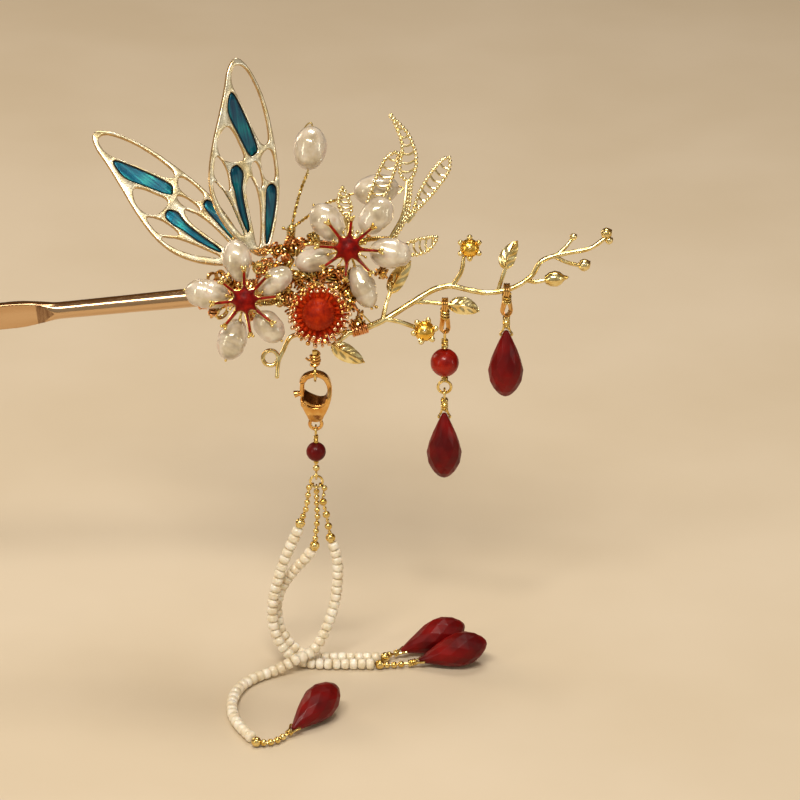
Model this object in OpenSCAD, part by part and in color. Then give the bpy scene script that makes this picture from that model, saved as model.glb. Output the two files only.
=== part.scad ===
// Ornamental hair stick in a Chinese style: a rose-gold stick with a flat blade, and on its end
// two cut-out butterfly wings, two pearl flowers, a red sunburst, pierced leaves, a twig with
// two hanging stones, and a tassel of seed-bead strands on a lobster clasp.
// Millimetres, +Z up, +X along the stick to the twig, the viewer on the -Y side.
// The origin is on the stick's axis, where the round neck turns into the flat blade.

/* [Stick] */
// Length of the flat blade, from the neck to its rounded tip
blade_l = 96; // [80:1:120]
// Length of the round part, from the neck to its end in the winding
rod_l = 36; // [34:1:38]
// Radius of the rod inside the winding
rod_r = 1.6; // [1.4:0.05:1.7]
// Radius of the rod at the neck
neck_r = 1.42; // [1.3:0.05:1.5]
// Half width of the blade
blade_half_w = 2.25; // [2:0.05:3]
// Half thickness of the blade
blade_half_t = 0.75; // [0.6:0.05:0.9]
// Rise of the stick towards the ornament, in degrees
stick_rise = 6; // [5:0.5:7]

/* [Ornament] */
// Backward lean of the ornament, in degrees
lean = 25; // [24:0.5:26]
// Thickness of the wing castings
wing_t = 1; // [0.8:0.1:1.1]
// Turn of each wing about its own length, in degrees
wing_turn = 20; // [18:1:22]
// Thickness of the enamel in the wing cells
enamel_t = 0.6; // [0.4:0.1:0.7]
// Thickness of the pierced leaves
leaf_t = 0.7; // [0.5:0.1:0.8]
// Radius of the drilled hole in a pearl
pearl_bore_r = 0.32; // [0.3:0.01:0.36]
// Radius of the wire that holds a pearl
pearl_wire_r = 0.22; // [0.18:0.01:0.24]
// Radius of the red dome of a flower
dome_r = 1.9; // [1.8:0.05:2]
// Rays in each layer of the sunburst
burst_rays = 24; // [20:1:26]
// Length of a sunburst ray from the centre
burst_r = 5.3; // [5:0.1:5.4]
// Radius of the bead in the sunburst
burst_bead_r = 2.75; // [2.5:0.05:2.8]

/* [Drops] */
// Length of a faceted stone
stone_l = 12; // [11:0.5:12]
// Largest radius of a faceted stone
stone_r = 3; // [2.8:0.05:3.05]
// Sides round a faceted stone
stone_sides = 10; // [8:2:12]
// Radius of the wire that the drops hang from
hook_r = 0.22; // [0.2:0.01:0.25]
// Radius of the round bead above the left drop
link_bead_r = 2.4; // [2.2:0.05:2.5]

/* [Tassel] */
// Thickness of the lobster clasp
clasp_t = 1.5; // [1.3:0.05:1.5]
// Radius of the round bead below the clasp
tassel_bead_r = 1.65; // [1.5:0.05:1.7]
// Radius of a seed-bead strand
strand_r = 1; // [0.9:0.05:1]

/* [Hidden] */

smooth_fn = 48;
wire_fn = 24;

// Colours as the eye sees them
rose_gold = "#d9a587";
pale_gold = "#d9c48f";
yellow_gold = "#d8a93a";
copper = "#b5703c";
teal = "#12707f";
dark_red = "#8b1a12";
carnelian = "#b02a10";
nacre = "#ece4d6";
ivory = "#e9dcc6";

// A point in the leaned ornament is [across, away from the viewer, up]; this is the index of away.
away = 1;

function unit(v) = v / norm(v);
function tangent(route, i) = unit(route[min(i + 1, len(route) - 1)] - route[max(i - 1, 0)]);

// Closed smooth curve through the points of an outline: Catmull-Rom, in equal steps
function between(a, b, c, d, t) =
    0.5 * (2 * b + (c - a) * t + (2 * a - 5 * b + 4 * c - d) * t * t
        + (3 * b - a - 3 * c + d) * t * t * t);
function rounded(pts, steps = 3) = [
    for (i = [0:len(pts) - 1])
        for (s = [0:steps - 1])
            between(pts[(i + len(pts) - 1) % len(pts)], pts[i],
                pts[(i + 1) % len(pts)], pts[(i + 2) % len(pts)], s / steps)
];

// Closed tube along a route, its ends flat; hint is a direction the route never runs along
module tube(route, r_start, r_end, sides = 8, hint = [0, 1, 0]) {
    last = len(route) - 1;
    points = [
        for (i = [0:last])
            let (t = tangent(route, i), u = unit(cross(t, hint)), v = cross(t, u),
                r = r_start + (r_end - r_start) * i / last)
                for (k = [0:sides - 1])
                    route[i] + r * (cos(360 * k / sides) * u + sin(360 * k / sides) * v)
    ];
    walls = [
        for (i = [0:last - 1])
            for (k = [0:sides - 1])
                let (a = i * sides + k, b = i * sides + (k + 1) % sides)
                    each [[a, a + sides, b + sides], [a, b + sides, b]]
    ];
    start_cap = [for (k = [0:sides - 1]) k];
    end_cap = [for (k = [sides - 1:-1:0]) last * sides + k];
    polyhedron(points = points, faces = concat([start_cap], walls, [end_cap]));
}

// Round bar between two points, with true curves
module bar(p, q, r) {
    v = q - p;
    translate(p)
        rotate([0, acos(v[2] / norm(v)), atan2(v[1], v[0])])
            cylinder(r = r, h = norm(v), $fn = wire_fn);
}

// Ring of round wire about the Y axis
module ring(centre, ring_r, r) {
    translate(centre)
        rotate([90, 0, 0])
            rotate_extrude($fn = smooth_fn) translate([ring_r, 0]) circle(r = r, $fn = wire_fn);
}

// Ring of round wire about the X axis
module ring_sideways(centre, ring_r, r) {
    translate(centre)
        rotate([0, 90, 0])
            rotate_extrude($fn = smooth_fn) translate([ring_r, 0]) circle(r = r, $fn = wire_fn);
}

module ball(centre, r) {
    translate(centre) sphere(r = r, $fn = smooth_fn);
}

// Small ball of few faces, for castings that are one mesh
module knob(centre, r, sides = 8) {
    translate(centre) sphere(r = r, $fn = sides);
}

// Stands a piece drawn in the ornament's own plane into the leaned ornament
module leaned() {
    rotate([-lean, 0, 0]) children();
}

// Round solid wound with wire, standing on the origin: a sleeve with ribs
module wound(l, inner_r, outer_r, turn_r) {
    turns = floor(l / (2 * turn_r));
    rotate_extrude($fn = smooth_fn) {
        translate([inner_r, 0]) square([outer_r - inner_r, l]);
        for (k = [0:turns - 1]) {
            translate([outer_r, turn_r + k * (l - 2 * turn_r) / (turns - 1)])
                circle(r = turn_r, $fn = wire_fn);
        }
    }
}

// The stick: x along it, then half width and half thickness of each section
stick_sections = [
    [-blade_l, 0.35, 0.3],
    [1.2 - blade_l, 1.2, 0.6],
    [3.5 - blade_l, 1.8, blade_half_t],
    [8 - blade_l, blade_half_w, blade_half_t],
    [-30, blade_half_w, blade_half_t],
    [-5, blade_half_w, blade_half_t],
    [-3, 2.05, blade_half_t],
    [-1.2, 1.75, 0.95],
    [0.4, 1.5, 1.3],
    [1.8, neck_r, neck_r],
    [12, neck_r + 0.06, neck_r + 0.06],
    [24, rod_r, rod_r],
    [rod_l - 0.4, rod_r, rod_r],
    [rod_l, rod_r - 0.3, rod_r - 0.3]
];
stick_sides = 24;

function stick_ring(s) = [
    for (k = [0:stick_sides - 1])
        let (turn = 360 * k / stick_sides)
            [s[0], max(-s[2], min(s[2], s[1] * cos(turn))), s[1] * sin(turn)]
];

module on_stick() {
    rotate([0, -stick_rise, 0]) children();
}

module hair_stick() {
    last = len(stick_sections) - 1;
    points = [for (s = stick_sections) each stick_ring(s)];
    walls = [
        for (i = [0:last - 1])
            for (k = [0:stick_sides - 1])
                let (a = i * stick_sides + k, b = i * stick_sides + (k + 1) % stick_sides)
                    each [[a, a + stick_sides, b + stick_sides], [a, b + stick_sides, b]]
    ];
    start_cap = [for (k = [0:stick_sides - 1]) k];
    end_cap = [for (k = [stick_sides - 1:-1:0]) last * stick_sides + k];
    color(rose_gold)
        on_stick()
            polyhedron(points = points, faces = concat([start_cap], walls, [end_cap]));
}

// Copper wire wound round the end of the rod
binding_start = 24.5;
binding_l = 12.5;
binding_gap = 0.05;
binding_wall = 0.35;
binding_turn_r = 0.25;

module binding() {
    color(copper)
        on_stick()
            translate([binding_start, 0, 0])
                rotate([0, 90, 0])
                    wound(binding_l, rod_r + binding_gap, rod_r + binding_wall, binding_turn_r);
}

// Wings: one casting used twice. Its own axes are [across, along], from its root to its tip.
wing_outline = [
    [0, -0.1], [1.2, 0.9], [2.9, 5.1], [4, 9.1], [4.6, 13.2], [4.6, 18.8], [4.2, 24.4],
    [3.2, 28.8], [1.8, 32], [0.2, 33.3], [-1.3, 31.4], [-2.3, 28.2], [-3.7, 24.2],
    [-5.4, 19.6], [-6.7, 14.8], [-6.9, 10.7], [-5.9, 6.9], [-3.9, 3.3], [-1.4, 0.6]
];
wing_cells_open = [
    [[0, 31.8], [-0.8, 29.3], [0.2, 25.8], [1.3, 22], [2.4, 18.9], [3.3, 18.6], [3.7, 20],
        [3.6, 23.5], [3, 27.4], [1.6, 31.2]],
    [[-2.8, 21.9], [-4.2, 20.4], [-4.6, 18.5], [-3.8, 16.6], [-0.9, 16.4], [-1.3, 19.1], [-2, 21.1]],
    [[-5, 17.2], [-5.8, 14.9], [-5.5, 13.4], [-4, 11.5], [-3.9, 14.7]],
    [[3.5, 17.4], [2.3, 16.4], [2.1, 14.7], [2.4, 12.7], [3.6, 12.4], [4, 14], [4, 16.4]],
    [[1, 15.6], [0.5, 14.9], [0.5, 13.2], [1.2, 11.4], [1.6, 12.4], [1.5, 14.4]],
    [[-0.2, 13.1], [-1, 11.2], [-1, 8.4], [-0.8, 4.8], [-0.6, 2], [-0.2, 2.2], [0.4, 5.4], [0.7, 9],
        [0.4, 12.1]],
    [[-6.2, 13], [-6.1, 10.9], [-5.2, 8], [-3.9, 5.7], [-2.6, 3.8], [-3.2, 6.4], [-4.2, 9.8],
        [-5.3, 12.2]]
];
wing_cells_enamel = [
    [[-1.3, 27.6], [-2.2, 24.5], [-1.1, 20.7], [0.2, 17], [1.1, 17.1], [1.6, 18], [0.9, 21.5],
        [-0.3, 25.6]],
    [[-2.1, 15.4], [-3.1, 14.8], [-3.3, 13.3], [-3, 11.3], [-2.8, 8.1], [-2.2, 5.2], [-1.8, 4.2],
        [-1.6, 5.2], [-1.8, 8.5], [-1.8, 11.7], [-1.3, 14]],
    [[3.3, 11.6], [2.3, 11], [1.7, 8], [1.1, 4.2], [0.9, 1.9], [1.7, 3.4], [3.1, 7.6], [3.7, 10.4]]
];
enamel_gap = 0.05;
wing_widen = 1 / cos(wing_turn);

// Root of each wing in the ornament, and the lean of its length to the left
wing_right_root = [35.3, 1, 9.3];
wing_right_swing = 8.3;
wing_left_root = [32.7, 2.6, 8.7];
wing_left_swing = 51.2;

function widened(pts) = [for (p = pts) [p[0] * wing_widen, p[1]]];

module at_wing(root, swing) {
    leaned()
        translate(root)
            rotate([0, -swing, 0])
                rotate([0, 0, wing_turn])
                    rotate([90, 0, 0])
                        children();
}

module wing(root, swing) {
    color(pale_gold)
        at_wing(root, swing)
            translate([0, 0, -wing_t / 2])
                linear_extrude(wing_t)
                    difference() {
                        polygon(rounded(widened(wing_outline)));
                        for (cell = concat(wing_cells_open, wing_cells_enamel)) {
                            polygon(rounded(widened(cell)));
                        }
                    }
}

module wing_enamel(root, swing) {
    color(teal)
        at_wing(root, swing)
            translate([0, 0, -enamel_t / 2])
                linear_extrude(enamel_t)
                    for (cell = wing_cells_enamel) {
                        offset(delta = -enamel_gap) polygon(rounded(widened(cell)));
                    }
}

module wing_left() {
    wing(wing_left_root, wing_left_swing);
}

module wing_right() {
    wing(wing_right_root, wing_right_swing);
}

module wing_left_enamel() {
    wing_enamel(wing_left_root, wing_left_swing);
}

module wing_right_enamel() {
    wing_enamel(wing_right_root, wing_right_swing);
}

// Flowers: the hub of each, and its petals as [centre, length, width]
flower_left_hub = [32.8, -6.5, 1.6];
flower_left_petals = [
    [[31.5, -6.5, 8.2], 7.3, 5.3],
    [[26.5, -6.5, 2.7], 7.6, 5.4],
    [[30.7, -6.5, -4.8], 7.2, 5.4],
    [[36.7, -6.7, -2.7], 6.2, 5],
    [[37.7, -7, 4.8], 6.6, 4.6]
];
flower_right_hub = [49.75, -4.2, 10.2];
flower_right_petals = [
    [[46.2, -4.2, 14.7], 7, 5.6],
    [[54.3, -4.2, 15.7], 7.2, 5.6],
    [[56.7, -4.2, 9.5], 7.3, 5.6],
    [[52.2, -4, 4], 7.7, 4.6],
    [[44.1, -3.6, 8.5], 6.8, 4.6]
];
// Lone pearls as [centre, length, width], and the direction of their length
pearl_top_body = [[43.3, 0, 27.2], 7.6, 5.8];
pearl_top_way = [0.1, 0, 1];
pearl_side_body = [[54.3, 5, 20.5], 8, 5.6];
pearl_side_way = [1, 0.1, 0.15];

// Pearl drilled along its length
module pearl(body, way) {
    w = unit(way);
    color(nacre)
        leaned()
            translate(body[0])
                rotate([0, acos(w[2]), atan2(w[1], w[0])])
                    difference() {
                        scale([body[2] / 2, body[2] / 2, body[1] / 2]) sphere(r = 1, $fn = smooth_fn);
                        cylinder(r = pearl_bore_r, h = 2 * body[1], center = true, $fn = wire_fn);
                    }
}

module petal(hub, body) {
    pearl(body, body[0] - hub);
}

module pearl_left_1() {
    petal(flower_left_hub, flower_left_petals[0]);
}

module pearl_left_2() {
    petal(flower_left_hub, flower_left_petals[1]);
}

module pearl_left_3() {
    petal(flower_left_hub, flower_left_petals[2]);
}

module pearl_left_4() {
    petal(flower_left_hub, flower_left_petals[3]);
}

module pearl_left_5() {
    petal(flower_left_hub, flower_left_petals[4]);
}

module pearl_right_1() {
    petal(flower_right_hub, flower_right_petals[0]);
}

module pearl_right_2() {
    petal(flower_right_hub, flower_right_petals[1]);
}

module pearl_right_3() {
    petal(flower_right_hub, flower_right_petals[2]);
}

module pearl_right_4() {
    petal(flower_right_hub, flower_right_petals[3]);
}

module pearl_right_5() {
    petal(flower_right_hub, flower_right_petals[4]);
}

module pearl_top() {
    pearl(pearl_top_body, pearl_top_way);
}

module pearl_side() {
    pearl(pearl_side_body, pearl_side_way);
}

// Star of eight enamelled rays round a red dome. A tip is [across, up] in the ornament.
star_left_tips = [
    [32.7, 6.6], [36.5, 5.5], [38.3, 2.2], [37.3, -2.1],
    [33.8, -4], [29.6, -2.6], [27.6, 1], [29.1, 4.5]
];
star_right_tips = [
    [50.3, 15], [53.8, 13.6], [55.1, 9.7], [53.4, 6.2],
    [49.3, 5.2], [45.7, 7.1], [44.7, 10.5], [46.5, 14.3]
];
star_forward = 3;
star_tip_forward = 0.5;
star_ray_r = 0.3;
star_tip_r = 0.55;
star_post_r = 0.9;
star_post_end = 1.3;
star_ray_start = 1.3;

module star(hub, tips) {
    centre = hub + [0, -star_forward, 0];
    color(dark_red)
        leaned()
            union() {
                ball(centre, dome_r);
                bar(centre + [0, star_post_r, 0], hub + [0, -star_post_end, 0], star_post_r);
                for (tip = tips) {
                    end = [tip[0], centre[away] - star_tip_forward, tip[1]];
                    bar(centre + star_ray_start * unit(end - centre), end, star_ray_r);
                    ball(end, star_tip_r);
                }
            }
}

module star_left() {
    star(flower_left_hub, star_left_tips);
}

module star_right() {
    star(flower_right_hub, star_right_tips);
}

// Sunburst: two layers of thin rays that lean forward, on a small plate, round a drilled bead
burst_centre = [44.9, -5.6, -0.7];
burst_plate_r = 2.1;
burst_plate_t = 0.7;
burst_ray_r = 0.22;
burst_tip_r = 0.42;
// Layers as [how far the tips lean forward, share of the length]
burst_layers = [[1.2, 1], [2.4, 0.9]];
burst_bead_forward = 3.6;

module burst_layer(rise, reach, turn) {
    for (k = [0:burst_rays - 1]) {
        rotate([0, turn + 360 * k / burst_rays, 0]) {
            hull() {
                knob([burst_plate_r - 0.5, 0, 0], burst_ray_r, 4);
                knob([burst_r * reach, -rise, 0], burst_ray_r, 4);
            }
            knob([burst_r * reach, -rise, 0], burst_tip_r, 6);
        }
    }
}

module burst() {
    step = 180 / burst_rays;
    color(dark_red)
        leaned()
            translate(burst_centre)
                union() {
                    rotate([90, 0, 0]) cylinder(r = burst_plate_r, h = burst_plate_t, center = true, $fn = 24);
                    burst_layer(burst_layers[0][0], burst_layers[0][1], 0);
                    burst_layer(burst_layers[1][0], burst_layers[1][1], step);
                }
}

module burst_bead() {
    color(carnelian)
        leaned()
            ball(burst_centre + [0, -burst_bead_forward, 0], burst_bead_r);
}

// Wire armature behind the flowers. Each wire is [route, radius].
core = [38.8, -1.7, 3.7];
crown = [40, 0, 11];
flower_back = [49.75, -1.2, 10.6];
burst_back = [44.9, -2.6, -0.7];
core_r = 1.4;
crown_r = 1.1;
armature_hint = [0.31, 0.17, 0.05];
armature_wires = [
    [[core, [39.3, -0.9, 6.5], [39.8, -0.2, 9], crown, [40.2, 0.1, 13.8]], 0.8],
    [[core, [37.3, -4.4, 1.4], [34.6, -5.2, 1.4], flower_left_hub], 0.5],
    [[crown, [45, -0.5, 11.4], flower_back], 0.5],
    [[flower_back, [49.75, -2.6, 10.4], flower_right_hub], 0.5],
    [[flower_back, [53, 0.4, 12], [56.6, 0, 12.1]], 0.4],
    [[[53, 0.4, 12], [53.1, 1.1, 12.6]], 0.35],
    [[flower_back, [50, 0.4, 11.9]], 0.35],
    [[[56.6, 0, 12.1], [57.6, 0, 11]], 0.35],
    [[core, [41.5, -2.2, 1], burst_back], 0.6],
    [[burst_back, burst_centre + [0, 0.95, 0]], 0.5],
    [[burst_back, [47.2, -3.1, -2.3], [48.5, -3.6, -2.9]], 0.5],
    [[burst_back, [44.4, -2.9, -3.5], [44.2, -3.1, -5.5]], 0.4],
    [[[39.3, -0.9, 6.5], [37, 0.5, 7.8], [35.4, 1, 8.7]], 0.4],
    [[[37, 0.5, 7.8], [35, 2.2, 7.6], [33.3, 2.6, 8.2]], 0.4]
];
top_stem = [[40.2, 0.1, 13.8], [42.88, 0, 23]];
side_stem = [[40.2, 0.1, 13.8], [43.1, 1.2, 16], [45.8, 2.6, 18], [47.5, 3.6, 18.7], [49.9, 4.5, 19.7]];
stem_r = 0.28;
petal_hub_r = 0.9;
wire_end_r = 0.42;

// Wire through a pearl, from its foot to a small ball past its far end
module pearl_wire(foot, body, way) {
    far = body[0] + unit(way) * (body[1] / 2 + wire_end_r + 0.1);
    hull() {
        knob(foot, pearl_wire_r, 4);
        knob(far, pearl_wire_r, 4);
    }
    knob(far, wire_end_r, 6);
}

module armature() {
    color(yellow_gold)
        leaned()
            union() {
                knob(core, core_r, 8);
                knob(crown, crown_r, 8);
                for (w = armature_wires) {
                    tube(w[0], w[1], w[1], 6, armature_hint);
                    knob(w[0][len(w[0]) - 1], w[1] * 1.05, 6);
                }
                for (hub = [flower_left_hub, flower_right_hub]) {
                    knob(hub, petal_hub_r, 8);
                }
                for (body = flower_left_petals) {
                    pearl_wire(flower_left_hub, body, body[0] - flower_left_hub);
                }
                for (body = flower_right_petals) {
                    pearl_wire(flower_right_hub, body, body[0] - flower_right_hub);
                }
                tube(top_stem, stem_r, stem_r, 6);
                tube(side_stem, stem_r, stem_r, 6, [0, 0, 1]);
                pearl_wire(top_stem[1], pearl_top_body, pearl_top_way);
                pearl_wire(side_stem[4], pearl_side_body, pearl_side_way);
            }
}

// Pierced leaves: outline up one side and down the other, then slanted ribs across the gap
leaf_rim = 0.55;
leaf_rib = 0.4;
leaf_a = [[59.6, 21.4], [58.2, 22.5], [58, 24.5], [58.4, 27.5], [57.5, 30.4], [56.5, 33],
    [59.4, 30.4], [60.7, 28], [61.3, 25.6], [61.1, 23.3], [60.3, 21.8]];
leaf_b = [[60.2, 15.9], [61.1, 19.5], [63, 22.9], [65.1, 25.4], [66.8, 25.8],
    [66.7, 23.3], [65.1, 20.8], [62.8, 18.1]];
leaf_c = [[54.2, 16.6], [52.6, 18], [53.5, 21], [54.6, 23.7], [56.1, 26.2], [58.2, 26.8],
    [58, 24.5], [57.1, 21.8], [56.1, 19.3]];
leaf_d = [[49.2, 15.4], [47.7, 18], [48.6, 21], [50, 18.8], [50.5, 16.8]];
leaf_e = [[58.9, 11], [61, 12.2], [64.6, 12.6], [63.9, 10.6], [62.2, 9.4], [60, 9.2]];

// Ribs from a point on the left edge to a point on the right edge, evenly spaced
function rib_ends(left_a, left_b, right_a, right_b, count) = [
    for (k = [1:count])
        let (t = k / (count + 1))
            [left_a + t * (left_b - left_a), right_a + t * (right_b - right_a)]
];

module strip(p, q, w) {
    v = q - p;
    translate(p)
        rotate(atan2(v[1], v[0]))
            translate([0, -w / 2])
                square([norm(v), w]);
}

module leaf(outline, ribs) {
    difference() {
        polygon(rounded(outline, 3));
        difference() {
            offset(delta = -leaf_rim) polygon(rounded(outline, 3));
            for (rib = ribs) {
                strip(rib[0], rib[1], leaf_rib);
            }
        }
    }
}

// Side of a stalk, half its width from its middle line
function stalk_side(route, half_w) = [
    for (i = [0:len(route) - 1])
        let (t = tangent(route, i))
            route[i] + half_w * [-t[1], t[0]]
];

module stalk(route, w) {
    left = stalk_side(route, w / 2);
    right = stalk_side(route, -w / 2);
    polygon(concat(left, [for (i = [len(right) - 1:-1:0]) right[i]]));
}

fork_stalk = [[59.9, 21.7], [59.6, 18.5], [59.2, 16.4], [58.5, 14.6], [57.4, 12.8]];
fork_twig = [[59.2, 15], [60.4, 16.4]];
back_stalk = [[54.3, 17], [53.8, 15.2], [53.2, 13.3]];
back_depth = 1.3;
small_stalk = [[49.4, 15.8], [49.9, 14], [50, 12.6]];
small_depth = 0.4;
side_stalk = [[59.2, 10.7], [58.3, 11]];
stalk_w = 0.7;
thin_stalk_w = 0.6;

// Stands flat work that is drawn as [across, up] at a depth in the ornament
module standing(depth) {
    color(pale_gold)
        leaned()
            translate([0, depth + leaf_t / 2, 0])
                rotate([90, 0, 0])
                    linear_extrude(leaf_t)
                        union() children();
}

module filigree_fork() {
    standing(0) {
        leaf(leaf_a, rib_ends([58.2, 21.6], [56.2, 33], [61.3, 22.8], [58.8, 33.4], 6));
        leaf(leaf_b, rib_ends([59.8, 17.4], [65.6, 26.2], [61.7, 15.6], [67.8, 24], 6));
        stalk(fork_stalk, stalk_w);
        stalk(fork_twig, stalk_w);
    }
}

module filigree_back() {
    standing(back_depth) {
        leaf(leaf_c, rib_ends([52, 17], [56.4, 27.4], [56, 16.8], [59, 26.4], 5));
        stalk(back_stalk, stalk_w);
    }
}

module filigree_small() {
    standing(small_depth) {
        leaf(leaf_d, rib_ends([47.4, 16], [47.9, 21.4], [50.9, 15.6], [50, 20.6], 3));
        stalk(small_stalk, thin_stalk_w);
    }
}

module filigree_side() {
    standing(0) {
        leaf(leaf_e, rib_ends([58.4, 11.6], [65, 13], [59.6, 8.8], [64.6, 10.6], 4));
        stalk(side_stalk, thin_stalk_w);
    }
}

// Twig: one casting of stem, side twigs, flowers, leaves and buds. Each twig is [route, radii].
twig_main = [[[49.8, -2.6, -3.6], [51.6, -2.4, -3.2], [53.6, -1.8, -2.4], [55.9, -1, -1.3], [59.6, -0.4, 1],
    [63.3, 0, 3.3], [65.2, 0, 4], [67, 0, 4.2], [70, 0, 3.5], [72.8, 0, 3.1], [75.8, 0, 3.5],
    [78.3, 0, 4.5], [80.3, 0, 6], [81.8, 0, 8.3], [84.3, 0, 9.3], [86.7, 0, 9.8], [90, 0, 10.5],
    [92.5, 0, 12.2]], [0.58, 0.4]];
twigs_side = [
    [[[49.8, -2.6, -3.6], [46.5, -1.2, -3.5], [43, -1.2, -3.7], [40.2, -1.8, -4.3], [38.9, -2.2, -6.6],
        [38.1, -2.4, -8.5], [37.9, -2.5, -10.9]], [0.5, 0.36]],
    [[[49.8, -2.6, -3.6], [48.6, -2.8, -4.6], [47.2, -3, -5.7]], [0.5, 0.4]],
    [[[67, 0, 4.2], [68.5, -0.2, 6.6], [68.9, -0.4, 8.9]], [0.45, 0.35]],
    [[[74.6, 0, 3.3], [75.3, 0, 5.5], [75.9, 0, 7.2]], [0.4, 0.35]],
    [[[79.4, 0, 5.2], [80.8, 0, 4.9], [82.6, 0, 5.2]], [0.4, 0.35]],
    [[[84, 0, 9.2], [86, 0, 8.2], [88, 0, 7.7]], [0.4, 0.35]],
    [[[84.6, 0, 9.4], [86.1, 0, 10.9], [87.1, 0, 12.2]], [0.4, 0.3]],
    [[[55.9, -1, -1.3], [58.3, -0.9, -1.8], [60.6, -0.5, -2.6]], [0.45, 0.4]],
    [[[60.4, -0.3, 1.5], [63, 0, 1.5], [66.8, 0, 1.1]], [0.42, 0.35]],
    [[[55.4, -1.2, -1.5], [56, -0.8, 1.2], [56.7, -0.5, 3.2]], [0.42, 0.35]]
];
// Buds as [centre, radius]
twig_buds = [[[92.7, 0, 13], 1], [[93.3, 0, 11.8], 0.7], [[89, 0, 7.7], 1.1], [[87.2, 0, 12.4], 0.65]];
bud_long = [[[83, 0, 5.2], 1.1], [[84.3, 0, 5.4], 1.4], [[86, 0, 5.6], 0.35]];
// Leaves as [root, belly, tip, half width]
twig_leaves = [
    [[75.8, 0, 7], [76.3, 0, 9.2], [77.8, 0, 11.6], 1.4],
    [[66.4, 0, 1], [69, 0, 0.9], [71.4, 0, 0], 1.5],
    [[56.6, -0.5, 3], [58, -0.5, 5.6], [60, -0.5, 8.3], 1.4],
    [[47, -3, -5.5], [49.4, -3, -7], [52.3, -3, -8.5], 1.5]
];
leaf_half_t = 0.35;
// Twig flowers as [centre, petal circle radius, petal radius]
twig_flowers = [[[69.9, -0.6, 10.6], 1.35, 0.72], [[62.4, -0.7, -3.3], 1.6, 0.85]];
sprig_ring_centre = [36.8, -2.4, -7.8];
sprig_ring_r = 1.25;
sprig_ring_wire = 0.35;

module twig(t) {
    tube(t[0], t[1][0], t[1][1], 6, [0.05, 1, 0.03]);
    knob(t[0][len(t[0]) - 1], t[1][1], 6);
}

// Casting of a leaf: a thin lens, widest at its belly
module twig_leaf(l) {
    hull() {
        knob(l[0], leaf_half_t, 6);
        translate(l[1]) rotate([90, 0, 0]) cylinder(r = l[3], h = leaf_half_t, center = true, $fn = 12);
        knob(l[2], leaf_half_t / 2, 6);
    }
}

module twig_flower(f) {
    knob(f[0], f[2], 8);
    for (k = [0:5]) {
        knob(f[0] + f[1] * [cos(60 * k), 0, sin(60 * k)], f[2], 6);
    }
}

module sprig_ring() {
    translate(sprig_ring_centre)
        rotate([90, 0, 0])
            rotate_extrude($fn = 12) translate([sprig_ring_r, 0]) circle(r = sprig_ring_wire, $fn = 6);
}

module branch() {
    color(yellow_gold)
        leaned()
            union() {
                twig(twig_main);
                for (t = twigs_side) {
                    twig(t);
                }
                for (l = twig_leaves) {
                    twig_leaf(l);
                }
                for (b = twig_buds) {
                    knob(b[0], b[1], 8);
                }
                hull() {
                    for (b = bud_long) {
                        knob(b[0], b[1], 8);
                    }
                }
                for (f = twig_flowers) {
                    twig_flower(f);
                }
                sprig_ring();
            }
}

// Copper wire wound round the root of the twig
root_coil_start = [50.2, -2.55, -3.5];
root_coil_end = [52.9, -2, -2.7];
root_coil_bore = 0.68;
root_coil_wall = 0.15;
root_coil_wire_r = 0.16;

module root_coil() {
    v = root_coil_end - root_coil_start;
    color(copper)
        leaned()
            translate(root_coil_start)
                rotate([0, acos(v[2] / norm(v)), atan2(v[1], v[0])])
                    wound(norm(v), root_coil_bore, root_coil_bore + root_coil_wall, root_coil_wire_r);
}

// Faceted stone: rows as [depth below its point, share of its radius], drilled near the point
stone_rows = [[0, 0.12], [0.13, 0.36], [0.3, 0.65], [0.46, 0.88], [0.6, 1], [0.74, 0.94],
    [0.87, 0.7], [0.96, 0.38], [1, 0.12]];
stone_hole_depth = 1.5;
stone_hole_r = 0.3;

function stone_ring(row, i) = [
    for (k = [0:stone_sides - 1])
        let (turn = 360 * (k + 0.5 * (i % 2)) / stone_sides)
            [row[1] * stone_r * cos(turn), row[1] * stone_r * sin(turn), -row[0] * stone_l]
];

// Rows of facets are turned half a side to each other, so that each facet is a triangle.
module stone() {
    last = len(stone_rows) - 1;
    points = [for (i = [0:last]) each stone_ring(stone_rows[i], i)];
    walls = [
        for (i = [0:last - 1])
            for (k = [0:stone_sides - 1])
                let (a = i * stone_sides + k, b = i * stone_sides + (k + 1) % stone_sides,
                    c = a + stone_sides, d = b + stone_sides)
                    each (i % 2 == 0 ? [[a, b, c], [b, d, c]] : [[a, b, d], [a, d, c]])
    ];
    top_cap = [for (k = [stone_sides - 1:-1:0]) k];
    bottom_cap = [for (k = [0:stone_sides - 1]) last * stone_sides + k];
    color(dark_red)
        difference() {
            polyhedron(points = points, faces = concat([top_cap], walls, [bottom_cap]));
            translate([0, 0, -stone_hole_depth])
                rotate([0, 90, 0])
                    cylinder(r = stone_hole_r, h = 4 * stone_r, center = true, $fn = wire_fn);
        }
}

// Wire on a stone: a pin through its hole, two legs up its sides, and a wound neck of a length
leg_out = 1.62;
leg_in = 0.5;
neck_start = 0.45;
neck_r_wound = 0.5;
neck_coil_wire_r = 0.18;

module stone_wire(neck_l) {
    foot = -stone_hole_depth;
    bar([-leg_out, 0, foot], [leg_out, 0, foot], hook_r);
    for (side = [-1, 1]) {
        ball([side * leg_out, 0, foot], hook_r);
        bar([side * leg_out, 0, foot], [side * leg_in, 0, neck_start + hook_r], hook_r);
    }
    translate([0, 0, neck_start])
        wound(neck_l, 0, neck_r_wound, neck_coil_wire_r);
}

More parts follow.
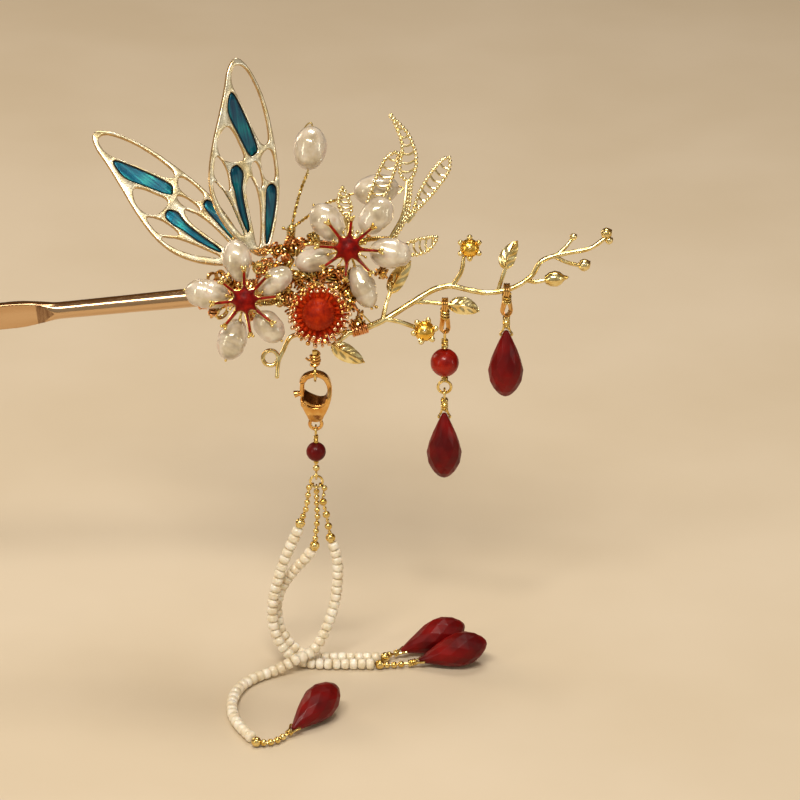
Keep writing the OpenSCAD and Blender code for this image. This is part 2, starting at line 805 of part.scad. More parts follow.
// Left drop, from the twig down: a link with a round bead, and a stone on a ring
left_pivot = [65.8, 0.5, 1.2];
bail_inner_r = 0.62;
bail_wire_r = 0.24;
bail_l = 4.4;
link_ring_z = -14.1;
link_ring_r = 1.1;
link_ring_wire = 0.28;
link_bead_z = -9.6;
link_bead_bore = 0.36;
link_pin_r = 0.28;
link_coil_r = 0.5;
link_coil_wire_r = 0.15;
link_coil_upper = [-7.1, 1.8];
link_coil_lower = [-13.1, 0.95];

// Long loop about the X axis: round at the top, straight down its sides, closed at the foot
module bail(pivot, inner_r, l) {
    mid_r = inner_r + bail_wire_r;
    translate(pivot)
        rotate([0, 90, 0]) {
            rotate_extrude(angle = 180, start = 90, $fn = smooth_fn)
                translate([mid_r, 0]) circle(r = bail_wire_r, $fn = wire_fn);
            translate([l, 0, 0])
                rotate_extrude(angle = 180, start = -90, $fn = smooth_fn)
                    translate([mid_r, 0]) circle(r = bail_wire_r, $fn = wire_fn);
        }
    for (side = [-1, 1]) {
        bar(pivot + [0, side * mid_r, 0], pivot + [0, side * mid_r, -l], bail_wire_r);
    }
}

module link_wire() {
    foot_z = left_pivot[2] - bail_l - bail_inner_r - bail_wire_r;
    ring_top = link_ring_z + link_ring_r;
    color(yellow_gold)
        union() {
            bail(left_pivot, bail_inner_r, bail_l);
            bar([left_pivot[0], left_pivot[1], foot_z], [left_pivot[0], left_pivot[1], ring_top], link_pin_r);
            for (coil = [link_coil_upper, link_coil_lower]) {
                translate([left_pivot[0], left_pivot[1], coil[0]])
                    wound(coil[1], 0, link_coil_r, link_coil_wire_r);
            }
            ring([left_pivot[0], left_pivot[1], link_ring_z], link_ring_r, link_ring_wire);
        }
}

module drilled_bead(centre, r, bore_r) {
    difference() {
        ball(centre, r);
        translate(centre) cylinder(r = bore_r, h = 4 * r, center = true, $fn = wire_fn);
    }
}

module link_bead() {
    color(carnelian)
        drilled_bead([left_pivot[0], left_pivot[1], link_bead_z], link_bead_r, link_bead_bore);
}

drop_loop_z = -15.3;
drop_loop_r = 0.83;
stone_left_z = -19;

module drop_left_wire() {
    neck_l = -stone_left_z + drop_loop_z - drop_loop_r - neck_start;
    color(yellow_gold)
        union() {
            translate([left_pivot[0], left_pivot[1], stone_left_z]) stone_wire(neck_l);
            ring_sideways([left_pivot[0], left_pivot[1], drop_loop_z], drop_loop_r, hook_r);
        }
}

module drop_left_stone() {
    translate([left_pivot[0], left_pivot[1], stone_left_z]) stone();
}

right_pivot = [76.1, 1.5, 3.2];
right_bail_inner_r = 0.78;
right_bail_l = 3.6;
stone_right_z = -4.2;

module drop_right_wire() {
    neck_l = right_pivot[2] - right_bail_l - right_bail_inner_r - bail_wire_r - stone_right_z - neck_start;
    color(yellow_gold)
        union() {
            bail(right_pivot, right_bail_inner_r, right_bail_l);
            translate([right_pivot[0], right_pivot[1], stone_right_z]) stone_wire(neck_l);
        }
}

module drop_right_stone() {
    translate([right_pivot[0], right_pivot[1], stone_right_z]) stone();
}

// Clasp and tassel hang plumb below the sunburst.
clasp_x = 44.2;
clasp_y = -5.5;
eye_loop_z = -8.85;
eye_loop_r = 1.25;
eye_wire_r = 0.24;
eye_post_r = 0.35;
eye_post_foot = -7.3;
eye_post_top = -4.6;
eye_coil_z = -7.6;
eye_coil_l = 2.2;
eye_coil_r = 0.75;
eye_coil_wire_r = 0.28;

module hung(z) {
    translate([clasp_x, clasp_y, z]) children();
}

module clasp_eye() {
    color(yellow_gold)
        union() {
            hung(0) bar([0, 0, eye_post_foot], [0, 0, eye_post_top], eye_post_r);
            hung(eye_coil_z) wound(eye_coil_l, 0, eye_coil_r, eye_coil_wire_r);
            ring_sideways([clasp_x, clasp_y, eye_loop_z], eye_loop_r, eye_wire_r);
        }
}

// Clasp outline and opening as [across, up] from the clasp's own centre line
clasp_outer = [[0, -8.45], [1.6, -8.95], [2.55, -10.3], [2.75, -12.3], [2.3, -14.4], [1.5, -16.2], [0.9, -17.3],
    [-0.9, -17.3], [-1.5, -16.2], [-2.3, -14.4], [-2.75, -12.3], [-2.55, -10.3], [-1.6, -8.95]];
clasp_hole = [[0, -9.35], [1.2, -9.75], [1.9, -11], [2, -12.4], [1.5, -13.9], [0.2, -14.6], [-1.2, -14.3],
    [-1.95, -12.8], [-1.9, -11], [-1.2, -9.75]];
clasp_ring_z = -18.1;
clasp_ring_r = 1;
clasp_ring_wire = 0.32;
// The lever turns on a pin between two cheeks and closes the left side of the clasp
lever_pivot = [-1.9, -14.1];
lever_eye_r = 0.6;
lever_seat_r = 0.72;
lever_eye_t = 0.7;
lever_slot_t = 0.84;
lever_arm_t = 1.2;
lever_arm_foot = -13;
lever_arm_top = -10.45;
lever_arm_r = 0.3;
lever_knob = [-3.5, -12.7];
lever_knob_r = 0.6;
gate_foot = -13.3;
gate_top = -10.3;
gate_right = -1.4;
gate_left = -4.2;
pivot_pin_r = 0.25;
pivot_bore_r = 0.3;

module clasp_front(t) {
    hung(0)
        rotate([90, 0, 0])
            translate([0, 0, -t / 2])
                linear_extrude(t)
                    children();
}

module clasp_body() {
    color(yellow_gold)
        union() {
            difference() {
                clasp_front(clasp_t)
                    difference() {
                        polygon(rounded(clasp_outer));
                        polygon(rounded(clasp_hole));
                        translate([gate_left, gate_foot])
                            square([gate_right - gate_left, gate_top - gate_foot]);
                    }
                clasp_front(lever_slot_t) {
                    translate(lever_pivot) circle(r = lever_seat_r, $fn = smooth_fn);
                    translate([gate_left, lever_pivot[1]])
                        square([lever_pivot[0] + lever_eye_r - gate_left, gate_top - lever_pivot[1]]);
                }
            }
            clasp_front(clasp_t) translate(lever_pivot) circle(r = pivot_pin_r, $fn = wire_fn);
            ring([clasp_x, clasp_y, clasp_ring_z], clasp_ring_r, clasp_ring_wire);
        }
}

module clasp_lever() {
    color(yellow_gold)
        union() {
            clasp_front(lever_eye_t)
                difference() {
                    union() {
                        translate(lever_pivot) circle(r = lever_eye_r, $fn = smooth_fn);
                        translate([lever_pivot[0] - lever_eye_r, lever_pivot[1]])
                            square([lever_eye_r, lever_arm_foot - lever_pivot[1] + 0.1]);
                    }
                    translate(lever_pivot) circle(r = pivot_bore_r, $fn = wire_fn);
                }
            clasp_front(lever_arm_t) {
                translate([lever_pivot[0] - lever_eye_r, lever_arm_foot])
                    square([2 * lever_arm_r, lever_arm_top - lever_arm_foot]);
                translate(lever_knob) circle(r = lever_knob_r, $fn = smooth_fn);
                translate([lever_knob[0], lever_knob[1] - lever_arm_r])
                    square([lever_pivot[0] - lever_eye_r - lever_knob[0] + 0.1, 2 * lever_arm_r]);
            }
        }
}

// Tassel wire, from the clasp down: a loop, a pin through a bead, a ball, and a loop.
// A loop is [height, radius], a coil is [height, length, radius, radius of its wire].
tassel_loops = [[-19.3, 0.8], [-27.6, 0.75]];
tassel_loop_wire = 0.2;
tassel_pin_top = -20;
tassel_pin_foot = -26.9;
tassel_pin_r = 0.24;
tassel_coils = [[-21.6, 0.7, 0.5, 0.17], [-25.7, 0.6, 0.45, 0.15]];
tassel_ball_z = -26.4;
tassel_ball_r = 0.6;
tassel_bead_z = -23.3;
tassel_bead_bore = 0.3;
tassel_ring_z = -28.9;
tassel_ring_r = 1.05;
tassel_ring_wire = 0.22;

module tassel_wire() {
    color(yellow_gold)
        union() {
            for (loop = tassel_loops) {
                ring_sideways([clasp_x, clasp_y, loop[0]], loop[1], tassel_loop_wire);
            }
            hung(0) bar([0, 0, tassel_pin_foot], [0, 0, tassel_pin_top], tassel_pin_r);
            for (coil = tassel_coils) {
                hung(coil[0]) wound(coil[1], 0, coil[2], coil[3]);
            }
            hung(0) ball([0, 0, tassel_ball_z], tassel_ball_r);
        }
}

module tassel_bead() {
    color(dark_red)
        drilled_bead([clasp_x, clasp_y, tassel_bead_z], tassel_bead_r, tassel_bead_bore);
}

module tassel_ring() {
    color(yellow_gold)
        ring([clasp_x, clasp_y, tassel_ring_z], tassel_ring_r, tassel_ring_wire);
}

// Head of each strand: a loop on the tassel ring, a chain of small balls, and an end ball.
// Each is [turn round the ring, route, indices of the route's small balls]
head_loop_r = 0.5;
head_loop_out = 1.17;
head_wire_r = 0.15;
head_foot_r = 0.24;
head_ball_r = 0.5;
end_ball_r = 0.85;
chain_ball_sides = 10;
end_ball_sides = 12;
heads = [
    [-50, [[42.95, -5.6, -30], [42.75, -5.8, -31.4], [42.5, -5.9, -33.6], [41.4, -6, -36.5]], [1, 2]],
    [0, [[44.2, -5.5, -30.75], [44.2, -5, -33], [44.3, -4.8, -35.8], [43.8, -5.8, -40.9]], [1, 2]],
    [50, [[45.55, -5.6, -30.1], [45.2, -6.3, -31.8], [45.8, -6.4, -34.4], [46.5, -5.6, -39.5]], [1, 2]]
];

module head(h) {
    on_ring = head_loop_out * [sin(h[0]), 0, -cos(h[0])];
    last = len(h[1]) - 1;
    color(yellow_gold)
        union() {
            translate([clasp_x, clasp_y, tassel_ring_z] + on_ring)
                rotate([0, -h[0], 0])
                    ring_sideways([0, 0, 0], head_loop_r, head_wire_r);
            knob(h[1][0], head_foot_r, 8);
            tube(h[1], head_wire_r, head_wire_r, 6, [0.05, 1, 0.03]);
            for (i = h[2]) {
                knob(h[1][i], head_ball_r, chain_ball_sides);
            }
            knob(h[1][last], end_ball_r, end_ball_sides);
        }
}

module head_left() {
    head(heads[0]);
}

module head_middle() {
    head(heads[1]);
}

module head_right() {
    head(heads[2]);
}

// Routes of the seed-bead strands, from the heads down to the surface and along it
route_left = [[41.15, -6, -37.4], [40.3, -6, -39.5], [39.2, -6, -42], [37.8, -6, -46], [36.8, -6, -50],
    [36.4, -6.2, -54], [36.9, -6.7, -57.3], [38.2, -7.4, -59.8], [40, -8.2, -61.4], [42.5, -8.8, -62],
    [46, -9.2, -62], [50, -9.2, -62], [53.9, -9.2, -62]];
route_middle = [[43.4, -5.8, -41.7], [42.4, -5.7, -43.2], [40.8, -5.1, -45.3], [38.9, -4.3, -48.2],
    [37.6, -3.95, -51], [37.1, -4.05, -54], [37.6, -4.6, -57.2], [39.1, -5.35, -59.8], [41.3, -6.2, -61.5],
    [44.5, -6.8, -62], [48, -7, -62], [51, -7, -62], [54.8, -7, -62]];
route_right = [[46.75, -5.6, -40.4], [47.3, -5.5, -42.2], [47.7, -5.5, -44.6], [47.6, -5.6, -48.1],
    [47.1, -5.9, -52], [46, -6.7, -55.4], [44.6, -8, -58.2], [43, -9.3, -59.8], [41, -10.5, -60.1],
    [39, -11.2, -61], [36.9, -11.9, -61.8], [34.3, -13.4, -62], [32, -15.8, -62], [30.6, -19, -62],
    [30, -23.4, -62], [30.7, -27.8, -62], [32.2, -31.4, -62], [34, -34.4, -62]];

module strand(route, hint) {
    color(ivory) tube(route, strand_r, strand_r, 8, hint);
}

module strand_left() {
    strand(route_left, [0, 1, 0]);
}

module strand_middle() {
    strand(route_middle, [0, 1, 0]);
}

module strand_right() {
    strand(route_right, [1, 0, -1]);
}

// Lower end of each strand: an end ball, a chain to the stone's wire, and the stone lying down.
// Each is [ball centre, chain, point of the stone, way the stone lies, length of its neck]
ends = [
    [[54.85, -9.2, -62.1], [[56.9, -9.1, -62.3], [58.6, -8.9, -62.2]], [61.6, -8.6, -61.7], [11.6, 1.2, 3], 1.6],
    [[55.75, -6.8, -62], [[56.3, -6.2, -61.9]], [58.5, -5.2, -61.7], [11, 4, 3], 1],
    [[34.6, -35.3, -62.1], [[36.5, -35.8, -62.3], [38, -34.8, -62.2]], [40.5, -31.9, -61.7], [7.2, 9.3, 3], 0.9]
];

// Lays a piece that hangs from the origin down along a way, its pin level
module lying(point, way) {
    u = -unit(way);
    translate(point)
        rotate([0, acos(u[2]), atan2(u[1], u[0])])
            rotate([0, 0, 90])
                children();
}

module strand_end(e) {
    neck_end = e[2] - unit(e[3]) * (neck_start + e[4] - 0.1);
    route = concat([e[0]], e[1], [neck_end]);
    color(yellow_gold)
        union() {
            knob(e[0], end_ball_r, end_ball_sides);
            tube(route, hook_r, hook_r, 6, [0.05, 0.03, 1]);
            for (joint = e[1]) {
                knob(joint, head_ball_r, chain_ball_sides);
            }
            lying(e[2], e[3]) stone_wire(e[4]);
        }
}

module end_left() {
    strand_end(ends[0]);
}

module end_middle() {
    strand_end(ends[1]);
}

module end_right() {
    strand_end(ends[2]);
}

module end_drop_left() {
    lying(ends[0][2], ends[0][3]) stone();
}

module end_drop_middle() {
    lying(ends[1][2], ends[1][3]) stone();
}

module end_drop_right() {
    lying(ends[2][2], ends[2][3]) stone();
}

hair_stick();
binding();
armature();
wing_left();
wing_right();
wing_left_enamel();
wing_right_enamel();
pearl_left_1();
pearl_left_2();
pearl_left_3();
pearl_left_4();
pearl_left_5();
pearl_right_1();
pearl_right_2();
pearl_right_3();
pearl_right_4();
pearl_right_5();
pearl_top();
pearl_side();
star_left();
star_right();
burst();
burst_bead();
filigree_fork();
filigree_back();
filigree_small();
filigree_side();
branch();
root_coil();
link_wire();
link_bead();
drop_left_wire();
drop_left_stone();
drop_right_wire();
drop_right_stone();
clasp_eye();
clasp_body();
clasp_lever();
tassel_wire();
tassel_bead();
tassel_ring();
head_left();
head_middle();
head_right();
strand_left();
strand_middle();
strand_right();
end_left();
end_middle();
end_right();
end_drop_left();
end_drop_middle();
end_drop_right();
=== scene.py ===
"""An ornamental hair stick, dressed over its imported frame.

Sizes are in millimetres, and a Form turns them into metres when it becomes a piece. The stick lies along
X, the viewer stands on the -Y side, and the ornament leans back from the viewer. Points of the leaned
ornament are (across, away from the viewer, up).
"""

import logging
import math
import random
from collections.abc import Callable, Sequence
from dataclasses import dataclass, field
from enum import Enum

import bmesh
import bpy
from mathutils import Matrix, Vector, noise


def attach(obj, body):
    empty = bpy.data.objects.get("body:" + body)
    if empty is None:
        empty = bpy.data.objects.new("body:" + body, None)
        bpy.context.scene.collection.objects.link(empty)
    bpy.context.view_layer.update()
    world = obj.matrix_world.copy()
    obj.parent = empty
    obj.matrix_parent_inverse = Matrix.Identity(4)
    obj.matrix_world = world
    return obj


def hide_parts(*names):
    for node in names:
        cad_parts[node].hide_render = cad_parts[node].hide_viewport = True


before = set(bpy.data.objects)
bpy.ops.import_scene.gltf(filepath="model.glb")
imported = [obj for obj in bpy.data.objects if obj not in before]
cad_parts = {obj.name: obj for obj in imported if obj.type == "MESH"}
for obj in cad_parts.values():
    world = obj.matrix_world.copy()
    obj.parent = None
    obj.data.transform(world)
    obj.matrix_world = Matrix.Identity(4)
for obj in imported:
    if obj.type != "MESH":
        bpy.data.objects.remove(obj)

log = logging.getLogger("hair_stick")

Point = tuple[float, float, float]
Flat = tuple[float, float]
Line = Sequence[Vector]
Route = Sequence[Point]
Outline = Sequence[Flat]
# A pearl's centre, length and width.
Petal = tuple[Point, float, float]
MM = 0.001
MM_PER_CM = 10
LEAN = Matrix.Rotation(math.radians(-25), 4, "X")
RISE = Matrix.Rotation(math.radians(-6), 4, "Y")
UPRIGHT = Matrix.Rotation(math.radians(90), 4, "X")
ALONG = Vector((1, 0, 0))
AWAY = Vector((0, 1, 0))
FRONT = Vector((0, -1, 0))
UP = Vector((0, 0, 1))


class Body(Enum):
    """The moving bodies of the frame."""

    PIN = "pin"
    BEAD_LINK = "bead_link"
    DROP_LEFT = "drop_left"
    DROP_RIGHT = "drop_right"
    CLASP_LEVER = "clasp_lever"


class Slot(Enum):
    """The record's material slots."""

    ROSE_GOLD = "rose_gold"
    COPPER_WIRE = "copper_wire"
    PALE_GOLD = "pale_gold"
    YELLOW_GOLD = "yellow_gold"
    TEAL_ENAMEL = "teal_enamel"
    PEARL = "pearl"
    RED_ENAMEL = "red_enamel"
    CARNELIAN = "carnelian"
    DARK_RED_GLASS = "dark_red_glass"
    IVORY_SEED_BEADS = "ivory_seed_beads"


# Colour and nodes


# Sockets of a Mix node that mixes colours. They go by number, because other types share their names.
MIX_A, MIX_B, MIX_OUT = 6, 7, 2


def linear(code: str) -> tuple[float, float, float, float]:
    """Turns an sRGB hex code into linear light.

    Args:
        code: The colour as #rrggbb.

    Returns:
        Red, green, blue, and 1 for alpha.
    """
    parts = [int(code[i : i + 2], 16) / 255 for i in (1, 3, 5)]
    red, green, blue = (p / 12.92 if p <= 0.04045 else ((p + 0.055) / 1.055) ** 2.4 for p in parts)
    return red, green, blue, 1.0


def scale(size_mm: float) -> float:
    """Gives the scale of a pattern in object space from the real size of its features."""
    return 1 / (size_mm * MM)


def fill(
    tree: bpy.types.NodeTree,
    node: bpy.types.Node,
    settings: dict[str | int, object],
    links: dict[str | int, bpy.types.Node | bpy.types.NodeSocket],
) -> None:
    """Gives a node its settings and links.

    Args:
        tree: The node tree that holds it.
        node: The node.
        settings: Its properties, values of its inputs by name or number, and under "stops" the places of
            a colour ramp, from 0 to 1, each with a hex colour.
        links: What feeds its inputs, by name or number: a socket, or a node for its first output.
    """
    for key, value in settings.items():
        if key == "stops":
            elements = node.color_ramp.elements
            while len(elements) < len(value):
                elements.new(0.5)
            for element, (place, code) in zip(elements, value):
                element.position = place
                element.color = linear(code)
        elif isinstance(key, str) and hasattr(node, key):
            setattr(node, key, value)
        else:
            node.inputs[key].default_value = value
    for key, source in links.items():
        tree.links.new(source.outputs[0] if isinstance(source, bpy.types.Node) else source, node.inputs[key])


def add_node(
    tree: bpy.types.NodeTree,
    kind: str,
    settings: dict[str | int, object] | None = None,
    links: dict[str | int, bpy.types.Node | bpy.types.NodeSocket] | None = None,
) -> bpy.types.Node:
    """Adds one node with its settings and links.

    Args:
        tree: The node tree that gets it.
        kind: The node's type, without its ShaderNode prefix.
        settings: Its settings, as fill takes them.
        links: What feeds it, as fill takes it.

    Returns:
        The new node.
    """
    node = tree.nodes.new("ShaderNode" + kind)
    fill(tree, node, settings or {}, links or {})
    return node


def blank(name: str) -> tuple[bpy.types.Material, bpy.types.NodeTree, bpy.types.Node]:
    """Makes a material that holds one Principled shader.

    Args:
        name: The material's name.

    Returns:
        The material, its tree and its shader.
    """
    material = bpy.data.materials.new(name)
    material.use_nodes = True
    return material, material.node_tree, material.node_tree.nodes["Principled BSDF"]


# Finishes


@dataclass(frozen=True)
class PlatedMetal:
    """Gold or copper plating over brass, cast or drawn and then tumbled bright.

    The eye sees mirror-like lights that waver over small dents; a warmer, duller colour is painted into the
    hollows by an occlusion mask, as painted shade.
    """

    name: str
    face: str
    warm: str
    # hollow: colour of the painted shade in the hollows; hollow_mm: how far its occlusion mask reaches.
    hollow: str
    roughness: float = 0.16
    dent_mm: float = 1.2
    dent_depth_mm: float = 0.012
    grain: Point = (1.0, 1.0, 1.0)
    hollow_mm: float = 0.7
    scratch_mm: float = 0.25

    def material(self) -> bpy.types.Material:
        """Builds the metal; its IOR stays at the shader's default.

        Returns:
            The material.
        """
        material, tree, shader = blank(self.name)
        place = add_node(tree, "TexCoord").outputs["Object"]
        along = add_node(tree, "Mapping", {"Scale": self.grain}, {"Vector": place})
        dents = add_node(tree, "TexNoise", {"Scale": scale(self.dent_mm), "Detail": 2.0}, {"Vector": along})
        tint = add_node(tree, "ValToRGB", {"stops": [(0.35, self.warm), (0.62, self.face)]}, {"Fac": dents})
        # Painted shade: where the occlusion mask finds a hollow, the colour turns towards the hollow colour.
        depth = add_node(tree, "AmbientOcclusion", {"samples": 4, "Distance": self.hollow_mm * MM})
        painted_hollow_shade = add_node(
            tree, "MapRange", {"From Min": 0.15, "From Max": 0.75, "To Min": 0.85, "To Max": 0.0},
            {"Value": depth.outputs["AO"]},
        )
        colour = add_node(
            tree, "Mix", {"data_type": "RGBA", MIX_B: linear(self.hollow)}, {"Factor": painted_hollow_shade, MIX_A: tint}
        )
        fine = add_node(tree, "TexNoise", {"Scale": scale(self.scratch_mm), "Detail": 3.0}, {"Vector": along})
        rough = add_node(
            tree, "MapRange",
            {
                "From Min": 0.3, "From Max": 0.7, "To Min": self.roughness * 0.7,
                "To Max": self.roughness * 1.5,
            },
            {"Value": fine},
        )
        bump = add_node(
            tree, "Bump", {"Strength": 1.0, "Distance": self.dent_depth_mm * MM}, {"Height": dents}
        )
        fill(
            tree, shader, {"Metallic": 1.0},
            {"Base Color": colour.outputs[MIX_OUT], "Roughness": rough, "Normal": bump},
        )
        return material


@dataclass(frozen=True)
class Nacre:
    """Freshwater pearl: thin layers of nacre, grown and lightly polished.

    The eye sees a cream body with pink and grey tints, a deep soft light and a sharp one on top.
    """

    name: str = "freshwater_nacre"
    white: str = "#e2d6c4"
    cream: str = "#cfbfa6"
    pink: str = "#d6baa4"
    grey: str = "#ab9a80"
    tint_mm: float = 3.0
    skin_mm: float = 0.8
    pit_mm: float = 0.02

    def material(self) -> bpy.types.Material:
        """Builds the nacre, with a clear coat for its sharp light.

        Returns:
            The material.
        """
        material, tree, shader = blank(self.name)
        place = add_node(tree, "TexCoord").outputs["Object"]
        tints = add_node(tree, "TexNoise", {"Scale": scale(self.tint_mm), "Detail": 3.0}, {"Vector": place})
        stops = [(0.3, self.grey), (0.45, self.cream), (0.58, self.white), (0.72, self.pink)]
        colour = add_node(tree, "ValToRGB", {"stops": stops}, {"Fac": tints})
        skin = add_node(
            tree, "TexNoise", {"Scale": scale(self.skin_mm), "Detail": 2.0, "Distortion": 0.6},
            {"Vector": place},
        )
        rough = add_node(
            tree, "MapRange", {"From Min": 0.3, "From Max": 0.7, "To Min": 0.12, "To Max": 0.26},
            {"Value": skin},
        )
        bump = add_node(tree, "Bump", {"Strength": 0.8, "Distance": self.pit_mm * MM}, {"Height": skin})
        fill(
            tree, shader,
            {
                "IOR": 1.6, "Metallic": 0.12, "Coat Weight": 1.0, "Coat Roughness": 0.09, "Coat IOR": 1.75,
                "Sheen Weight": 0.15, "Subsurface Weight": 0.12, "Subsurface Radius": (0.9, 0.7, 0.5),
                "Subsurface Scale": MM, "Thin Film Thickness": 380.0, "Thin Film IOR": 1.45,
            },
            {"Base Color": colour, "Roughness": rough, "Normal": bump},
        )
        return material


@dataclass(frozen=True)
class FoilEnamel:
    """Clear coloured enamel over crinkled silver foil, filled into the cells by hand.

    The eye sees streaks of foil light that run with the wing, under a smooth clear skin.
    """

    name: str
    deep: str
    middle: str
    bright: str
    streak_mm: float = 0.5
    streak_length_mm: float = 7.0
    pool_mm: float = 4.5454545
    crinkle_mm: float = 0.06

    def material(self) -> bpy.types.Material:
        """Builds the enamel from the wing's own flat coordinates, in centimetres.

        Returns:
            The material.
        """
        material, tree, shader = blank(self.name)
        flat = add_node(tree, "UVMap", {"uv_map": "Flat"})
        streaks = add_node(
            tree, "Mapping",
            {"Scale": (MM_PER_CM / self.streak_mm, MM_PER_CM / self.streak_length_mm, 1.0)}, {"Vector": flat},
        )
        foil = add_node(
            tree, "TexNoise", {"Scale": 1.0, "Detail": 3.0, "Distortion": 0.3}, {"Vector": streaks}
        )
        settings = {"Scale": MM_PER_CM / self.pool_mm, "Detail": 1.0}
        pool = add_node(tree, "TexNoise", settings, {"Vector": flat})
        part = add_node(tree, "Math", {"operation": "MULTIPLY", 1: 0.45}, {0: pool})
        both = add_node(tree, "Math", {"operation": "MULTIPLY_ADD", 1: 0.55}, {0: foil, 2: part})
        stops = [(0.36, self.deep), (0.5, self.middle), (0.64, self.bright)]
        colour = add_node(tree, "ValToRGB", {"stops": stops}, {"Fac": both})
        bump = add_node(tree, "Bump", {"Strength": 0.5, "Distance": self.crinkle_mm * MM}, {"Height": foil})
        fill(
            tree, shader,
            {
                "Metallic": 0.75, "Roughness": 0.32, "Specular IOR Level": 0.25, "Coat Weight": 0.2,
                "Coat Roughness": 0.04,
            },
            {"Base Color": colour, "Normal": bump},
        )
        return material


@dataclass(frozen=True)
class RedPaste:
    """Opaque or cloudy red: soft enamel brushed on, a carved stone, or moulded glass.

    The eye sees a deep red that is brighter where it is thin, with an uneven shine.
    """

    name: str
    deep: str
    middle: str
    bright: str
    patch_mm: float
    skin_mm: float
    pit_mm: float
    roughness: float
    coat: float
    shine: float
    glow: float = 0.0
    # Whether faces that look down are painted lighter: painted light.
    lit_below: bool = False

    def material(self) -> bpy.types.Material:
        """Builds the red, with patches of depth and a pitted skin.

        Returns:
            The material.
        """
        material, tree, shader = blank(self.name)
        place = add_node(tree, "TexCoord").outputs["Object"]
        settings = {"Scale": scale(self.patch_mm), "Detail": 2.0}
        patches = add_node(tree, "TexNoise", settings, {"Vector": place})
        stops = [(0.34, self.deep), (0.52, self.middle), (0.7, self.bright)]
        colour = add_node(tree, "ValToRGB", {"stops": stops}, {"Fac": patches}).outputs["Color"]
        # Painted light: faces that look down are mixed towards the bright red, like light gathered low in a
        # clear stone.
        if self.lit_below:
            normal = add_node(tree, "NewGeometry").outputs["Normal"]
            ways = add_node(tree, "SeparateXYZ", {}, {"Vector": normal})
            low = add_node(
                tree, "MapRange", {"From Min": 0.3, "From Max": -0.9, "To Min": 0.0, "To Max": 0.7},
                {"Value": ways.outputs["Z"]},
            )
            glow_painted_below = add_node(
                tree, "Mix", {"data_type": "RGBA", MIX_B: linear(self.bright)},
                {"Factor": low, MIX_A: colour},
            )
            colour = glow_painted_below.outputs[MIX_OUT]
        skin = add_node(tree, "TexNoise", {"Scale": scale(self.skin_mm), "Detail": 3.0}, {"Vector": place})
        rough = add_node(
            tree, "MapRange",
            {
                "From Min": 0.3, "From Max": 0.7, "To Min": self.roughness * 0.75,
                "To Max": self.roughness * 1.35,
            },
            {"Value": skin},
        )
        bump = add_node(tree, "Bump", {"Strength": 0.7, "Distance": self.pit_mm * MM}, {"Height": skin})
        fill(
            tree, shader,
            {"IOR": 1.52, "Specular IOR Level": self.shine, "Coat Weight": self.coat, "Coat Roughness": 0.12},
            {"Base Color": colour, "Roughness": rough, "Normal": bump},
        )
        if self.glow:
            settings = {"Subsurface Weight": self.glow, "Subsurface Scale": MM}
            fill(tree, shader, {**settings, "Subsurface Radius": (1.6, 0.35, 0.15)}, {})
        return material


@dataclass(frozen=True)
class PressedGlass:
    """Seed beads: opaque glass drawn into a tube, cut and tumbled round.

    The eye sees small ivory rounds with a pearly shine, a few warmer than the rest.
    """

    name: str = "ivory_seed_bead_glass"
    warm: str = "#e0d1b2"
    ivory: str = "#ece1c9"
    white: str = "#f6efdf"
    tint_mm: float = 1.6
    skin_mm: float = 0.3
    pit_mm: float = 0.02

    def material(self) -> bpy.types.Material:
        """Builds the glass; its tint changes from bead to bead.

        Returns:
            The material.
        """
        material, tree, shader = blank(self.name)
        place = add_node(tree, "TexCoord").outputs["Object"]
        tints = add_node(tree, "TexNoise", {"Scale": scale(self.tint_mm), "Detail": 1.0}, {"Vector": place})
        stops = [(0.32, self.warm), (0.5, self.ivory), (0.66, self.white)]
        colour = add_node(tree, "ValToRGB", {"stops": stops}, {"Fac": tints})
        skin = add_node(tree, "TexNoise", {"Scale": scale(self.skin_mm), "Detail": 2.0}, {"Vector": place})
        bump = add_node(tree, "Bump", {"Strength": 0.4, "Distance": self.pit_mm * MM}, {"Height": skin})
        fill(
            tree, shader,
            {
                "Roughness": 0.28, "IOR": 1.52, "Coat Weight": 0.5, "Coat Roughness": 0.1,
                "Subsurface Weight": 0.2, "Subsurface Radius": (0.8, 0.6, 0.4), "Subsurface Scale": MM,
            },
            {"Base Color": colour, "Normal": bump},
        )
        return material


@dataclass(frozen=True)
class PaleBoard:
    """Matt coated board under the object, pressed smooth.

    The eye sees a plain pale tan with a faint mottle.
    """

    name: str = "pale_matt_board"
    light: str = "#d8cab2"
    dark: str = "#d2c3a9"
    mottle_mm: float = 60

    def material(self) -> bpy.types.Material:
        """Builds the board.

        Returns:
            The material.
        """
        material, tree, shader = blank(self.name)
        place = add_node(tree, "TexCoord").outputs["Object"]
        settings = {"Scale": scale(self.mottle_mm), "Detail": 4.0}
        mottle = add_node(tree, "TexNoise", settings, {"Vector": place})
        stops = [(0.35, self.dark), (0.65, self.light)]
        colour = add_node(tree, "ValToRGB", {"stops": stops}, {"Fac": mottle})
        fill(tree, shader, {"Roughness": 0.75}, {"Base Color": colour})
        return material


